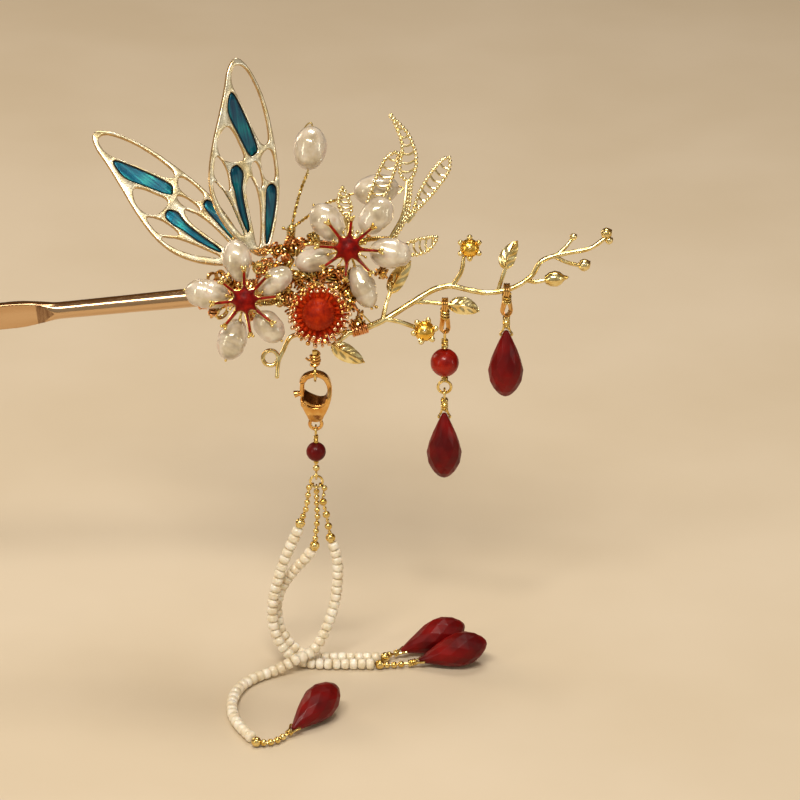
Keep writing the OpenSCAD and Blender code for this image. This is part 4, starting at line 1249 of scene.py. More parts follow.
@dataclass
class Star:
    """Red dome with eight enamelled rays in gold channels, and gold stamens between and under them."""

    name: str
    node: str
    hub: Point
    tips: Outline
    forward: float = 3.0
    tip_forward: float = 0.5
    dome_r: float = 2.05
    # Shares of the dome's radius: height, round top, foot between rays, and what a ray adds to the foot.
    dome_height: float = 0.92
    dome_top: float = 0.9
    foot_r: float = 0.84
    foot_spread: float = 0.62
    ray_start: float = 1.35
    ray_w: float = 0.25
    ray_raised: float = 0.22
    ray_depth: float = 0.16
    rail_r: float = 0.08
    tip_r: float = 0.46
    prong_r: float = 0.27
    stamen_r: float = 0.13
    seed: int = 1

    def ray(self, form: Form, start: Vector, end: Vector) -> None:
        """Adds one ray: red paste between two gold rails, and a gold cup with prongs at its tip.

        Args:
            form: The form that gets it.
            start: Where it leaves the dome.
            end: Its tip.
        """
        way = (end - start).normalized()
        across = way.cross(FRONT).normalized()
        deep = self.ray_depth * FRONT
        count = 8
        route, widths = [], []
        for i in range(count + 1):
            route.append(start.lerp(end, i / count) - FRONT * 0.12 * math.sin(math.pi * i / count))
            widths.append(self.ray_w * (1.1 - 0.3 * i / count + 1.7 * math.exp(-7 * i / count)))
        loops = []
        for p, w in zip(route, widths):
            left, right = p + 0.7 * w * across + deep, p - 0.7 * w * across + deep
            loops.append([p + w * across, left, p + self.ray_raised * FRONT, right, p - w * across, p - deep])
        form.skin(loops, 0)
        for side in (-1, 1):
            form.tube([p + side * w * across for p, w in zip(route, widths)], self.rail_r, 1, 6)
        form.tube([p - deep for p in route], 0.2, 1, 6)
        form.ball(end, self.tip_r, 1, 12)
        for side in (-1, 1):
            form.ball(end + 0.38 * way + side * 0.36 * across + 0.12 * FRONT, self.prong_r, 1, 10)
        form.ball(end + 0.34 * FRONT - 0.1 * way, 0.26, 1, 8)

    def dome(self, form: Form, centre: Vector) -> None:
        """Adds the dome, which spreads in hollow curves into the rays, and the gold rim round it.

        Args:
            form: The form that gets it.
            centre: Middle of its foot.
        """
        ways = [math.atan2(up - centre.z, across - centre.x) for across, up in self.tips]
        sides, rows = 112, 14
        angles = [math.tau * k / sides for k in range(sides)]
        foot = []
        for angle in angles:
            off = min(abs((angle - way + math.pi) % math.tau - math.pi) for way in ways)
            foot.append(self.dome_r * (self.foot_r + self.foot_spread * math.exp(-off / 0.14)))
        loops = [[centre + Vector((0, -self.dome_height * self.dome_r, 0))]]
        for i in range(1, rows + 1):
            t = i / rows
            round_r = self.dome_top * self.dome_r * math.sin(math.pi / 2 * t)
            height = self.dome_height * self.dome_r * math.cos(math.pi / 2 * t) ** 0.9
            spread = max(0.0, (t - 0.45) / 0.55) ** 1.6
            loop = []
            for angle, foot_here in zip(angles, foot):
                spot = spoke(angle)
                lump = 0.05 * noise.noise(spot * 2.2 * t + Vector((self.seed, height, 0)))
                reach = round_r + (foot_here - round_r) * spread + lump
                loop.append(centre + spot * reach + Vector((0, 0.05 - height, 0)))
            loops.append(loop)
        loops.append([centre + Vector((0, 0.5, 0))])
        form.skin(loops, 2)
        form.tube(loops[-2] + loops[-2][:1], 0.12, 1, 6)

    def stamens(self, form: Form, hub: Vector, centre: Vector) -> None:
        """Adds a gold stamen with a ball between each two rays, each a little different.

        Args:
            form: The form that gets them.
            hub: Where they start.
            centre: Middle of the dome's foot.
        """
        chance = random.Random(self.seed)
        for (across, up), (next_across, next_up) in zip(self.tips, [*self.tips[1:], self.tips[0]]):
            between = Vector(((across + next_across) / 2, 0, (up + next_up) / 2))
            middle = between - Vector((centre.x, 0, centre.z))
            reach = chance.uniform(2.7, 3.5)
            end = centre + middle.normalized() * reach + Vector((0, chance.uniform(0.9, 1.5), 0))
            start = hub + Vector((0, -1.4, 0)) + middle.normalized() * 0.8
            bend = (start + end) / 2 + Vector((0, -0.35, 0))
            form.tube(smooth([start, bend, end], 4), self.stamen_r, 1, 6)
            form.ball(end, chance.uniform(0.24, 0.32), 1, 10)

    def build(self, palette: Palette) -> None:
        """Builds the rays, the stamens, the dome and the post behind it.

        Args:
            palette: The finishes.
        """
        hub = Vector(self.hub)
        centre = hub + Vector((0, -self.forward, 0))
        star = Form()
        for across, up in self.tips:
            end = Vector((across, centre.y - self.tip_forward, up))
            start = centre + self.ray_start * (end - centre).normalized() + Vector((0, 0.35, 0))
            self.ray(star, start, end)
        self.stamens(star, hub, centre)
        self.dome(star, centre)
        star.tube([centre + Vector((0, 0.5, 0)), hub + Vector((0, -1.3, 0))], 0.8, 1, 16)
        star.lean()
        finishes = [palette.ray_enamel, palette.yellow_gold, palette.dome_enamel]
        settle(star.piece(self.name, finishes), Body.PIN, Slot.RED_ENAMEL, self.node)


@dataclass
class PearlFlower:
    """Five pearls round a hub, under an enamelled star."""

    side: str
    hub: Point
    # Centre, length and width of each pearl.
    petals: Sequence[Petal]
    tips: Outline
    grooves: Sequence[Sequence[tuple[float, float, float]]]
    seed: int

    def build(self, palette: Palette) -> None:
        """Builds the pearls and the star.

        Args:
            palette: The finishes.
        """
        for i, (petal, grooves) in enumerate(zip(self.petals, self.grooves), 1):
            way = Vector(petal[0]) - Vector(self.hub)
            name, node = f"{self.side}_flower_pearl_{i}", f"pearl_{self.side}_{i}"
            Pearl(name, node, *petal, way, self.seed + i, grooves).build(palette)
        star = Star(f"{self.side}_flower_star", f"star_{self.side}", self.hub, self.tips, seed=self.seed)
        star.build(palette)


@dataclass
class Sunburst:
    """Flower of many thin red rays with gold ball tips, round a carved carnelian bead."""

    centre: Point = (44.9, -5.6, -0.7)
    plate_r: float = 2.1
    plate_half: float = 0.3
    # Number of rays, their reach, how far they rise to the front, and their turn as a share of one step.
    layers: Sequence[tuple[int, float, float, float]] = (
        (26, 5.3, 1.2, 0.0), (26, 4.8, 2.4, 0.5), (24, 4.1, 3.4, 0.25), (22, 4.6, 0.3, 0.6),
    )
    ray_start: float = 1.5
    ray_r: float = 0.2
    enamelled_rows: int = 5
    enamelled_sides: int = 3
    tip_r: float = 0.42
    bead_r: float = 2.75
    bead_forward: float = 3.6
    flutes: int = 26
    flute_depth: float = 0.02
    seed: int = 5

    def rays(self, form: Form, centre: Vector) -> None:
        """Adds the layers of rays; tips and lengths differ a little.

        Args:
            form: The form that gets them.
            centre: Where they meet.
        """
        chance = random.Random(self.seed)
        front = Vector((0, -0.17, 0))
        for count, reach, rise, phase in self.layers:
            for k in range(count):
                out = spoke(math.tau * (k + phase + chance.uniform(-0.09, 0.09)) / count)
                span = reach * chance.uniform(0.88, 1.0)
                start = centre + self.ray_start * out + Vector((0, -0.1, 0))
                end = centre + span * out + Vector((0, -rise, 0))
                knee = centre + 0.62 * span * out + Vector((0, -rise * 0.72, 0))
                route = smooth([start, knee, end], 3)
                across = out.cross(AWAY)
                loops = []
                for i, p in enumerate(route):
                    side = self.ray_r * (1.0 + 0.25 * math.sin(math.pi * i / (len(route) - 1)))
                    loops.append([
                        p + side * across, p + 0.6 * side * across + front, p - 0.6 * side * across + front,
                        p - side * across, p - 0.5 * side * across - front, p + 0.5 * side * across - front,
                    ])
                form.skin(
                    loops, lambda row, face: int(face >= self.enamelled_sides or row >= self.enamelled_rows)
                )
                form.ball(end, self.tip_r * chance.uniform(0.6, 1.0), chance.choice((1, 2, 2)), 10)

    def bead(self, form: Form, middle: Vector) -> None:
        """Adds the carved bead, fluted from front to back.

        Args:
            form: The form that gets it.
            middle: Its centre.
        """
        place = LEAN @ facing(middle, FRONT)
        loops = []
        rows, sides, depth = 28, 104, self.flute_depth
        for i in range(rows + 1):
            a = math.pi * i / rows
            if i in (0, rows):
                loops.append([place @ Vector((0, 0, self.bead_r * math.cos(a) * (1 - depth)))])
                continue
            loop = []
            for k in range(sides):
                t = math.tau * k / sides
                fluted = 1 - depth + depth * math.cos(self.flutes * t) * math.sin(a) ** 2
                spot = Vector((math.sin(a) * math.cos(t), math.sin(a) * math.sin(t), math.cos(a)))
                loop.append(place @ (spot * self.bead_r * fluted))
            loops.append(loop)
        form.skin(loops)

    def build(self, palette: Palette) -> None:
        """Builds the backing plate with its rays, and the bead.

        Args:
            palette: The finishes.
        """
        centre = Vector(self.centre)
        rays = Form()
        half, back = self.plate_half, self.plate_half + 0.05
        plate = [(0.0, back), (self.plate_r, half), (self.plate_r, -half), (0.0, -back)]
        rays.turned(plate, facing(centre, FRONT), 1, 28)
        self.rays(rays, centre)
        rays.lean()
        finishes = [palette.sunburst_enamel, palette.orange_gold, palette.pink_gold]
        settle(rays.piece("sunburst_rays", finishes), Body.PIN, Slot.RED_ENAMEL, "burst")
        bead = Form()
        self.bead(bead, centre + Vector((0, -self.bead_forward, 0)))
        carved = bead.piece("sunburst_bead", [palette.carved_carnelian], 80)
        settle(carved, Body.PIN, Slot.CARNELIAN, "burst_bead")


# Wire behind the flowers


@dataclass
class Armature:
    """Wires behind the flowers: wound stems, pearl wires, twisted stalks, and the copper tangle."""

    hubs: Route
    flower_petals: Sequence[Sequence[Petal]]
    pearl_top: Petal
    pearl_side: Petal
    core: Point = (38.8, -1.7, 3.7)
    crown: Point = (40, 0, 11)
    # Course and radius of each wound stem.
    wires: Sequence[tuple[Route, float]] = (
        (((38.8, -1.7, 3.7), (39.3, -0.9, 6.5), (39.8, -0.2, 9), (40, 0, 11), (40.2, 0.1, 13.8)), 0.8),
        (((38.8, -1.7, 3.7), (37.3, -4.4, 1.4), (34.6, -5.2, 1.4), (32.8, -6.5, 1.6)), 0.5),
        (((40, 0, 11), (45, -0.5, 11.4), (49.75, -1.2, 10.6)), 0.5),
        (((49.75, -1.2, 10.6), (49.75, -2.6, 10.4), (49.75, -4.2, 10.2)), 0.5),
        (((49.75, -1.2, 10.6), (53, 0.4, 12), (56.6, 0, 12.1)), 0.4),
        (((53, 0.4, 12), (53.1, 1.1, 12.6)), 0.35),
        (((49.75, -1.2, 10.6), (50, 0.4, 11.9)), 0.35),
        (((56.6, 0, 12.1), (57.6, 0, 11)), 0.35),
        (((38.8, -1.7, 3.7), (41.5, -2.2, 1), (44.9, -2.6, -0.7)), 0.6),
        (((44.9, -2.6, -0.7), (44.9, -4.65, -0.7)), 0.5),
        (((44.9, -2.6, -0.7), (47.2, -3.1, -2.3), (48.5, -3.6, -2.9)), 0.5),
        (((44.9, -2.6, -0.7), (44.4, -2.9, -3.5), (44.2, -3.1, -5.5)), 0.4),
        (((39.3, -0.9, 6.5), (37, 0.5, 7.8), (35.4, 1, 8.7)), 0.4),
        (((37, 0.5, 7.8), (35, 2.2, 7.6), (33.3, 2.6, 8.2)), 0.4),
    )
    top_stem: Route = ((40.2, 0.1, 13.8), (41, 0.1, 17.5), (41.9, 0, 20.6), (42.88, 0, 23))
    side_stem: Route = (
        (40.2, 0.1, 13.8), (43.1, 1.2, 16), (45.8, 2.6, 18), (47.5, 3.6, 18.7), (49.9, 4.5, 19.7),
    )
    stem_wire_r: float = 0.15
    # Centre, spread to each side and number of windings of each tangle.
    nests: Sequence[tuple[Point, Point, int]] = (
        ((38.6, -1.2, 9.4), (2.8, 0.8, 2.0), 14), ((42.5, -1.4, 10.4), (1.8, 0.7, 1.7), 8),
        ((28.6, -4.2, 5.4), (1.5, 0.5, 0.7), 4), ((35.6, -3.2, 7.2), (1.2, 0.7, 1.2), 5),
        ((28.6, -5.0, -0.9), (1.3, 0.5, 0.8), 4), ((39.2, -4.0, 2.2), (1.4, 0.7, 2.6), 10),
        ((34.8, -4.2, -1.6), (1.6, 0.6, 1.1), 5), ((46.4, -3.0, 6.0), (1.8, 0.6, 0.8), 10),
        ((49.4, -3.2, 5.0), (1.6, 0.7, 1.4), 9), ((41.2, -2.8, 5.4), (1.0, 0.6, 1.2), 7),
        ((50.4, -2.8, 1.6), (1.4, 0.7, 1.4), 7), ((51.6, -2.3, -1.6), (1.2, 0.7, 1.0), 4),
        ((55.0, -1.8, 5.4), (0.6, 0.6, 1.5), 4), ((43.4, -2.2, 5.6), (1.2, 0.4, 1.0), 8),
        ((48.2, -2.2, 3.8), (1.2, 0.4, 1.0), 8), ((41.6, -2.4, 2.6), (0.9, 0.5, 1.6), 6),
        ((31.2, -4.4, -2.6), (0.8, 0.4, 0.8), 3),
    )
    # Start and end of each loose wire with a ball.
    sprays: Sequence[tuple[Point, Point]] = (
        ((41.0, -0.6, 12.0), (38.9, -1.0, 13.8)), ((50.6, -3.6, 1.8), (54.4, -3.2, 0.6)),
        ((50.2, -3.4, 0.8), (53.6, -3.4, -2.2)), ((47.6, -2.6, 12.4), (49.8, -2.8, 14.0)),
    )
    seed: int = 11

    def wound_stems(self, form: Form) -> None:
        """Adds each stem: a dark core and bright wire wound round it; every third winding is copper.

        Args:
            form: The form that gets them.
        """
        for i, (route, r) in enumerate(self.wires):
            line = smooth(vectors(route), 6)
            form.tube(line, r * 0.72, 1, 10)
            form.winding(line, r * 0.8, 0.15, 0.33, 1 if i % 3 == 2 else 0, steps=10, waver=0.08)
            form.ball(line[-1], r * 0.9, 0, 10)

    def pearl_wires(self, form: Form) -> None:
        """Adds the wire through each pearl, with a small loop or ball past its far end.

        Args:
            form: The form that gets them.
        """
        for hub, petals in zip(vectors(self.hubs), self.flower_petals):
            form.ball(hub, 0.9, 0, 14)
            for centre, length, _ in petals:
                way = (Vector(centre) - hub).normalized()
                far = Vector(centre) + way * (length / 2 + 0.05)
                form.tube([hub, far], 0.2, 0, 6)
                form.ball(far, 0.24, 0, 10)
        for (centre, length, _), way, foot in (
            (self.pearl_top, PEARL_TOP_WAY.normalized(), self.top_stem[-1]),
            (self.pearl_side, PEARL_SIDE_WAY.normalized(), self.side_stem[-1]),
        ):
            far = Vector(centre) + way * (length / 2 - 0.1)
            form.tube([Vector(foot), far], 0.17, 0, 6)
            if way.z > 0.9:
                side = Vector((-1, -0.2, 0))
                loop = [far, far + Vector((-0.15, -0.1, 0.5)), far + 0.7 * side + Vector((0, 0, 0.35)),
                        far + 1.3 * side - Vector((0, 0, 0.35))]
            else:
                bend = way.orthogonal().normalized()
                loop = [far, far + 0.45 * way - 0.2 * bend, far + 0.6 * way - 0.6 * bend,
                        far + 0.2 * way - 1.15 * bend, far - 0.5 * way - 1.6 * bend]
            form.tube(smooth(loop, 5), 0.14, 0, 6)

    def tangle(self, form: Form) -> None:
        """Adds the loose turns of copper and gold wire that bind the pieces together.

        Args:
            form: The form that gets them.
        """
        chance = random.Random(self.seed)

        def any_way(depth: float) -> Vector:
            """Draws a direction.

            Args:
                depth: How far it may point away from the ornament's plane.

            Returns:
                The direction.
            """
            spot = (chance.uniform(-1, 1), chance.uniform(-depth, depth), chance.uniform(-1, 1))
            return Vector(spot).normalized()

        for centre, size, count in ((Vector(self.core), 1.35, 12), (Vector(self.crown), 1.15, 9)):
            for _ in range(count):
                way = any_way(0.6)
                ring_r = size * chance.uniform(0.8, 1.05)
                form.ring(centre, way, ring_r, 0.16, chance.choice((0, 1, 1)), 22, 6)
            form.ball(centre, size * 0.6, 1, 14)
        for centre, spread, count in self.nests:
            for _ in range(count):
                spot = Vector(centre) + Vector(chance.uniform(-1, 1) * s for s in spread)
                half = any_way(0.5) * chance.uniform(0.3, 0.8)
                coil_r = chance.uniform(0.5, 1.0)
                wire_r = chance.choice((0.18, 0.21, 0.24))
                finish = chance.choice((0, 1, 2, 2))
                phase = chance.uniform(0, math.tau)
                form.winding([spot - half, spot, spot + half], coil_r, wire_r, 0.55, finish, phase, waver=0.3)
        for start, end in (vectors(spray) for spray in self.sprays):
            bend = start.lerp(end, 0.5) + Vector((0.1, -0.3, 0.15))
            form.tube(smooth([start, bend, end], 5), 0.14, 0, 6)
            form.ball(end, 0.3, 0, 10)

    def build(self, palette: Palette) -> None:
        """Builds all the wire as one piece.

        Args:
            palette: The finishes.
        """
        form = Form()
        self.wound_stems(form)
        self.pearl_wires(form)
        self.tangle(form)
        for route in (self.top_stem, self.side_stem):
            form.twisted_pair(smooth(vectors(route), 5), self.stem_wire_r, 1.5, 0)
        form.lean()
        finishes = [palette.yellow_gold, palette.copper, palette.orange_gold]
        settle(form.piece("armature_wire", finishes), Body.PIN, Slot.YELLOW_GOLD, "armature")


# Pierced leaves


@dataclass
class PiercedLeaf:
    """Leaf of beaded wire: a beaded rim, arched cross wires and a stalk of one plain and two beaded rows."""

    name: str
    node: str
    outlines: Sequence[Outline]
    # Each set of cross wires: the ends of the line where they start, of the line where they end, and number.
    ribs: Sequence[tuple[Flat, Flat, Flat, Flat, int]]
    stalks: Sequence[Outline]
    depth: float
    bead_r: float = 0.36
    bead_pitch: float = 0.7
    rim_inset: float = 0.3
    rib_r: float = 0.2
    rib_arch: float = 0.16
    stalk_half_w: float = 0.38

    def stood(self, line: Outline) -> list[Vector]:
        """Stands flat points at the leaf's depth.

        Args:
            line: The flat points.

        Returns:
            The points in space.
        """
        return [Vector((x, self.depth, z)) for x, z in line]

    def row(self, form: Form, line: Line, closed: bool, bead_r: float) -> None:
        """Adds one row of small balls on a backing wire.

        Args:
            form: The form that gets it.
            line: Its course.
            closed: Whether its end joins its start.
            bead_r: Radius of the balls.
        """
        spots = stepped(line, self.bead_pitch, closed)
        for spot in spots:
            form.ball(spot, bead_r, 0, 12)
        form.tube(spots + ([spots[0]] if closed else []), bead_r * 0.45, 0, 6)

    def rib(self, form: Form, left: Vector, right: Vector, along: Vector) -> None:
        """Adds one cross wire, arched towards the stalk, in each outline that it crosses.

        Args:
            form: The form that gets it.
            left: One end of its line, beyond the leaf.
            right: The other end.
            along: The direction from the stalk to the tip.
        """
        for outline in self.outlines:
            inside = clipped(left, right, outline)
            if inside is None:
                continue
            p, q = inside
            arch = (p + q) / 2 - along * self.rib_arch * (q - p).length
            form.tube(smooth([p, arch, q], 5), self.rib_r, 0, 6)

    def stalk(self, form: Form, line: Line) -> None:
        """Adds one stalk: a plain row and two beaded ones, side by side.

        Args:
            form: The form that gets it.
            line: Its middle line.
        """
        last = len(line) - 1
        for side in (-1, 0, 1):
            row = []
            for i, p in enumerate(line):
                tangent = line[min(i + 1, last)] - line[max(i - 1, 0)]
                normal = Vector((-tangent.z, 0, tangent.x)).normalized()
                row.append(p + side * self.stalk_half_w * normal)
            if side < 0:
                form.tube(row, self.bead_r * 0.8, 0, 8)
            else:
                self.row(form, row, False, self.bead_r * 0.85)

    def build(self, palette: Palette) -> None:
        """Builds the rims, ribs and stalks of the leaf.

        Args:
            palette: The finishes.
        """
        form = Form()
        for outline in self.outlines:
            loop = smooth([Vector((x, 0, z)) for x, z in outline], 4, closed=True)
            inner = shrunk([(p.x, p.z) for p in loop], self.rim_inset)
            self.row(form, self.stood(inner), True, self.bead_r)
        for *corners, count in self.ribs:
            left_a, left_b, right_a, right_b = corners
            for k in range(1, count + 1):
                t = k / (count + 1)
                ends = []
                for (ax, az), (bx, bz) in ((left_a, left_b), (right_a, right_b)):
                    ends.append(Vector((ax + t * (bx - ax), self.depth, az + t * (bz - az))))
                along = Vector((left_b[0] - left_a[0], 0, left_b[1] - left_a[1])).normalized()
                self.rib(form, *ends, along)
        for stalk in self.stalks:
            self.stalk(form, smooth(self.stood(stalk), 4))
        form.lean()
        settle(form.piece(self.name, [palette.beaded_gold]), Body.PIN, Slot.PALE_GOLD, self.node)


def clipped(left: Vector, right: Vector, outline: Outline) -> tuple[Vector, Vector] | None:
    """Finds the stretch of a cross wire that lies inside a leaf.

    Args:
        left: One end of the line, beyond the leaf.
        right: The other end.
        outline: The leaf's outline.

    Returns:
        The two ends inside, or None if the line misses the leaf.
    """
    loop = smooth([Vector((x, left.y, z)) for x, z in outline], 4, closed=True)
    way = right - left
    cuts = []
    for a, b in zip(loop, [*loop[1:], loop[0]]):
        edge = b - a
        bottom = way.x * edge.z - way.z * edge.x
        if abs(bottom) < 1e-9:
            continue
        t = ((a.x - left.x) * edge.z - (a.z - left.z) * edge.x) / bottom
        s = ((a.x - left.x) * way.z - (a.z - left.z) * way.x) / bottom
        if 0 <= s <= 1 and -0.2 <= t <= 1.2:
            cuts.append(t)
    if len(cuts) < 2 or (max(cuts) - min(cuts)) * way.length < 0.7:
        return None
    inset = 0.3 / way.length
    return left + way * (min(cuts) + inset), left + way * (max(cuts) - inset)


# The twig


@dataclass
class Twig:
    """Cast twig: stems, veined leaves, small set flowers and buds."""

    main: Route = (
        (49.8, -2.6, -3.6), (51.6, -2.4, -3.2), (53.6, -1.8, -2.4), (55.9, -1, -1.3), (59.6, -0.4, 1),
        (63.3, 0, 3.3), (65.2, 0, 4), (67, 0, 4.2), (70, 0, 3.5), (72.8, 0, 3.1), (75.8, 0, 3.5),
        (78.3, 0, 4.5), (80.3, 0, 6), (81.8, 0, 8.3), (84.3, 0, 9.3), (86.7, 0, 9.8), (90, 0, 10.5),
        (92.5, 0, 12.2),
    )
    main_radii: Flat = (0.58, 0.4)
    # Course of each side stem, and its radius at the start and at the end.
    twigs: Sequence[tuple[Route, Flat]] = (
        (((49.8, -2.6, -3.6), (46.5, -1.2, -3.5), (43, -1.2, -3.7), (40.2, -1.8, -4.3), (38.9, -2.2, -6.6),
          (38.1, -2.4, -8.5), (37.9, -2.5, -10.9)), (0.5, 0.36)),
        (((49.8, -2.6, -3.6), (48.6, -2.8, -4.6), (47.2, -3, -5.7)), (0.5, 0.4)),
        (((67, 0, 4.2), (68.5, -0.2, 6.6), (68.9, -0.4, 8.9)), (0.45, 0.35)),
        (((74.6, 0, 3.3), (75.3, 0, 5.5), (75.9, 0, 7.2)), (0.4, 0.35)),
        (((79.4, 0, 5.2), (80.8, 0, 4.9), (82.6, 0, 5.2)), (0.4, 0.35)),
        (((84, 0, 9.2), (86, 0, 8.2), (88, 0, 7.7)), (0.4, 0.35)),
        (((84.6, 0, 9.4), (86.1, 0, 10.9), (87.1, 0, 12.2)), (0.4, 0.3)),
        (((55.9, -1, -1.3), (58.3, -0.9, -1.8), (60.6, -0.5, -2.6)), (0.45, 0.4)),
        (((60.4, -0.3, 1.5), (63, 0, 1.5), (66.8, 0, 1.1)), (0.42, 0.35)),
        (((55.4, -1.2, -1.5), (56, -0.8, 1.2), (56.7, -0.5, 3.2)), (0.42, 0.35)),
    )
    # Centre and radius of each bud.
    buds: Sequence[tuple[Point, float]] = (
        ((92.7, 0, 13), 1), ((93.15, 0, 11.8), 0.7), ((89, 0, 7.7), 1.1), ((87.2, 0, 12.4), 0.65),
    )
    # Root, widest place, tip, half width and curl of each leaf.
    leaves: Sequence[tuple[Point, Point, Point, float, float]] = (
        ((75.8, 0, 7), (76.3, 0, 9.2), (77.8, 0, 11.6), 1.4, 0.3),
        ((66.4, 0, 1), (69, 0, 0.9), (71.4, 0, 0), 1.5, 0.35),
        ((56.6, -0.5, 3), (58, -0.5, 5.6), (60, -0.5, 8.3), 1.4, 0.3),
        ((47, -3, -5.5), (49.4, -3, -7), (52.3, -3, -8.5), 1.5, 0.4),
    )
    # Centre, reach and turn of each flower.
    flowers: Sequence[tuple[Point, float, float]] = (
        ((69.9, -0.6, 10.5), 1.85, 0.5), ((62.4, -0.7, -3.3), 2.0, 0.2),
    )
    ring_centre: Point = (36.8, -2.4, -7.8)
    ring_r: float = 1.25
    ring_wire: float = 0.35
    pod_centre: Point = (84, 0, 5.4)
    pod_way: Point = (1, 0, 0.12)
    pod: Outline = (
        (0.0, -1.7), (0.7, -1.5), (1.2, -0.7), (1.35, 0.3), (1.05, 1.1), (0.5, 1.6), (0.28, 2.2), (0.0, 2.5),
    )
    root_winding: Route = ((50.3, -2.53, -3.47), (52.8, -2.02, -2.73))

    def stem(self, form: Form, route: Route, radii: Flat) -> None:
        """Adds one stem that thins towards its end and has a knotty surface.

        Args:
            form: The form that gets it.
            route: Its course.
            radii: Its radius at the start and at the end.
        """
        line = smooth(vectors(route), 7)
        last = len(line) - 1
        thick, thin = radii
        sizes = []
        for i, p in enumerate(line):
            sizes.append((thick + (thin - thick) * i / last) * (0.94 + 0.1 * noise.noise(p * 0.9)))
        form.tube(line, sizes, 0, 12)
        form.ball(line[-1], thin * 1.02, 0, 12)

    def leaf(self, form: Form, root: Vector, belly: Vector, tip: Vector, half_w: float, curl: float) -> None:
        """Adds one leaf: a cupped blade with a raised midrib, side veins and a curled tip.

        Args:
            form: The form that gets it.
            root: Where the leaf starts.
            belly: Its widest place.
            tip: Its point.
            half_w: Half of its width.
            curl: How far its tip turns towards the viewer.
        """
        spine = smooth([root, belly, tip], 14)
        loops = [[spine[0]]]
        last = len(spine) - 1
        for i in range(1, last):
            t = i / last
            way = (spine[i + 1] - spine[i - 1]).normalized()
            across = way.cross(FRONT).normalized()
            w = half_w * math.sin(math.pi * t**0.85) ** 0.75
            middle = spine[i] + FRONT * curl * t**3
            top, under = [], []
            for s in range(-6, 7):
                x = s / 6
                vein = 0.09 * math.cos(24 * (t - 0.3 * abs(x))) * (1 - abs(x)) * abs(x) * 4
                ridge = 0.2 * math.exp(-((x / 0.13) ** 2))
                cup = 0.55 * w * (1 - x * x) * 0.62
                top.append(middle + across * w * x + FRONT * (cup + ridge + vein))
                under.append(middle + across * w * x + FRONT * (cup * 0.35 - 0.1))
            loops.append(top + under[::-1][1:-1])
        end = spine[-1] + FRONT * curl
        loops.append([end])
        form.skin(loops)
        form.ball(end, 0.2, 0, 8)

    def flower(self, form: Form, centre: Vector, reach: float, phase: float) -> None:
        """Adds one small flower: a round centre in a cup, and six petals that end in balls.

        Args:
            form: The form that gets it.
            centre: Its centre.
            reach: Length of a petal.
            phase: Its turn, as a share of the step between two petals.
        """
        profile = [(0.0, 0.95), (0.42, 0.82), (0.72, 0.46), (0.86, -0.05), (0.5, -0.45), (0.0, -0.5)]
        form.turned([(reach * share, z) for share, z in profile], facing(centre, FRONT), 1, 28)
        form.ball(centre + FRONT * 0.74, reach * 0.22, 0, 14)
        for k in range(12):
            form.ball(centre + FRONT * 0.5 + reach * 0.56 * spoke(math.tau * k / 12), 0.14, 1, 6)
        for k in range(6):
            a = math.tau * (k + phase) / 6
            out = spoke(a)
            side = Vector((-math.sin(a), 0, math.cos(a)))
            loops = []
            for i in range(6):
                t = i / 5
                w = 0.36 * reach * (1.0 - 0.3 * t)
                p = centre + out * reach * (0.5 + 0.46 * t) + FRONT * (0.25 * t)
                loops.append([
                    p + w * side, p + 0.5 * w * side + 0.12 * FRONT, p - 0.5 * w * side + 0.12 * FRONT,
                    p - w * side, p - 0.5 * w * side - 0.14 * FRONT, p + 0.5 * w * side - 0.14 * FRONT,
                ])
            form.skin(loops)
            form.ball(centre + out * reach * 0.96 + FRONT * 0.4, 0.47, 0, 14)

    def bud(self, form: Form, centre: Vector, radius: float) -> None:
        """Adds one bud with a small point and a seam.

        Args:
            form: The form that gets it.
            centre: Its centre.
            radius: Its radius.
        """
        way = Vector((0.8, 0, 0.5)).normalized()
        profile = (
            (0.0, -1), (0.6, -0.75), (0.95, -0.15), (0.85, 0.45), (0.5, 0.82), (0.16, 1.02), (0.0, 1.15),
        )
        form.turned([(radius * r, radius * z) for r, z in profile], facing(centre, way), 0, 16)
        form.ring(centre - way * radius * 0.5, way, radius * 0.78, 0.1, 0, 16, 6)

    def build(self, palette: Palette) -> None:
        """Builds the casting and the copper turns on its root.

        Args:
            palette: The finishes.
        """
        form = Form()
        self.stem(form, self.main, self.main_radii)
        for route, radii in self.twigs:
            self.stem(form, route, radii)
        for root, belly, tip, half_w, curl in self.leaves:
            self.leaf(form, Vector(root), Vector(belly), Vector(tip), half_w, curl)
        for centre, radius in self.buds:
            self.bud(form, Vector(centre), radius)
        form.turned(self.pod, facing(Vector(self.pod_centre), Vector(self.pod_way)), 0, 20)
        for centre, reach, phase in self.flowers:
            self.flower(form, Vector(centre), reach, phase)
        form.ring(Vector(self.ring_centre), AWAY, self.ring_r, self.ring_wire, 0, 32, 10)
        form.lean()
        finishes = [palette.lemon_gold, palette.amber_gold]
        settle(form.piece("twig_casting", finishes), Body.PIN, Slot.YELLOW_GOLD, "branch")
        turns = Form()
        line = [LEAN @ p for p in vectors(self.root_winding)]
        turns.tube(line, 0.78, 0, 14)
        turns.winding(line, 0.83, 0.16, 0.34, 0, steps=20, sides=8, waver=0.03)
        settle(turns.piece("twig_root_winding", [palette.copper]), Body.PIN, Slot.COPPER_WIRE, "root_coil")


# Drops


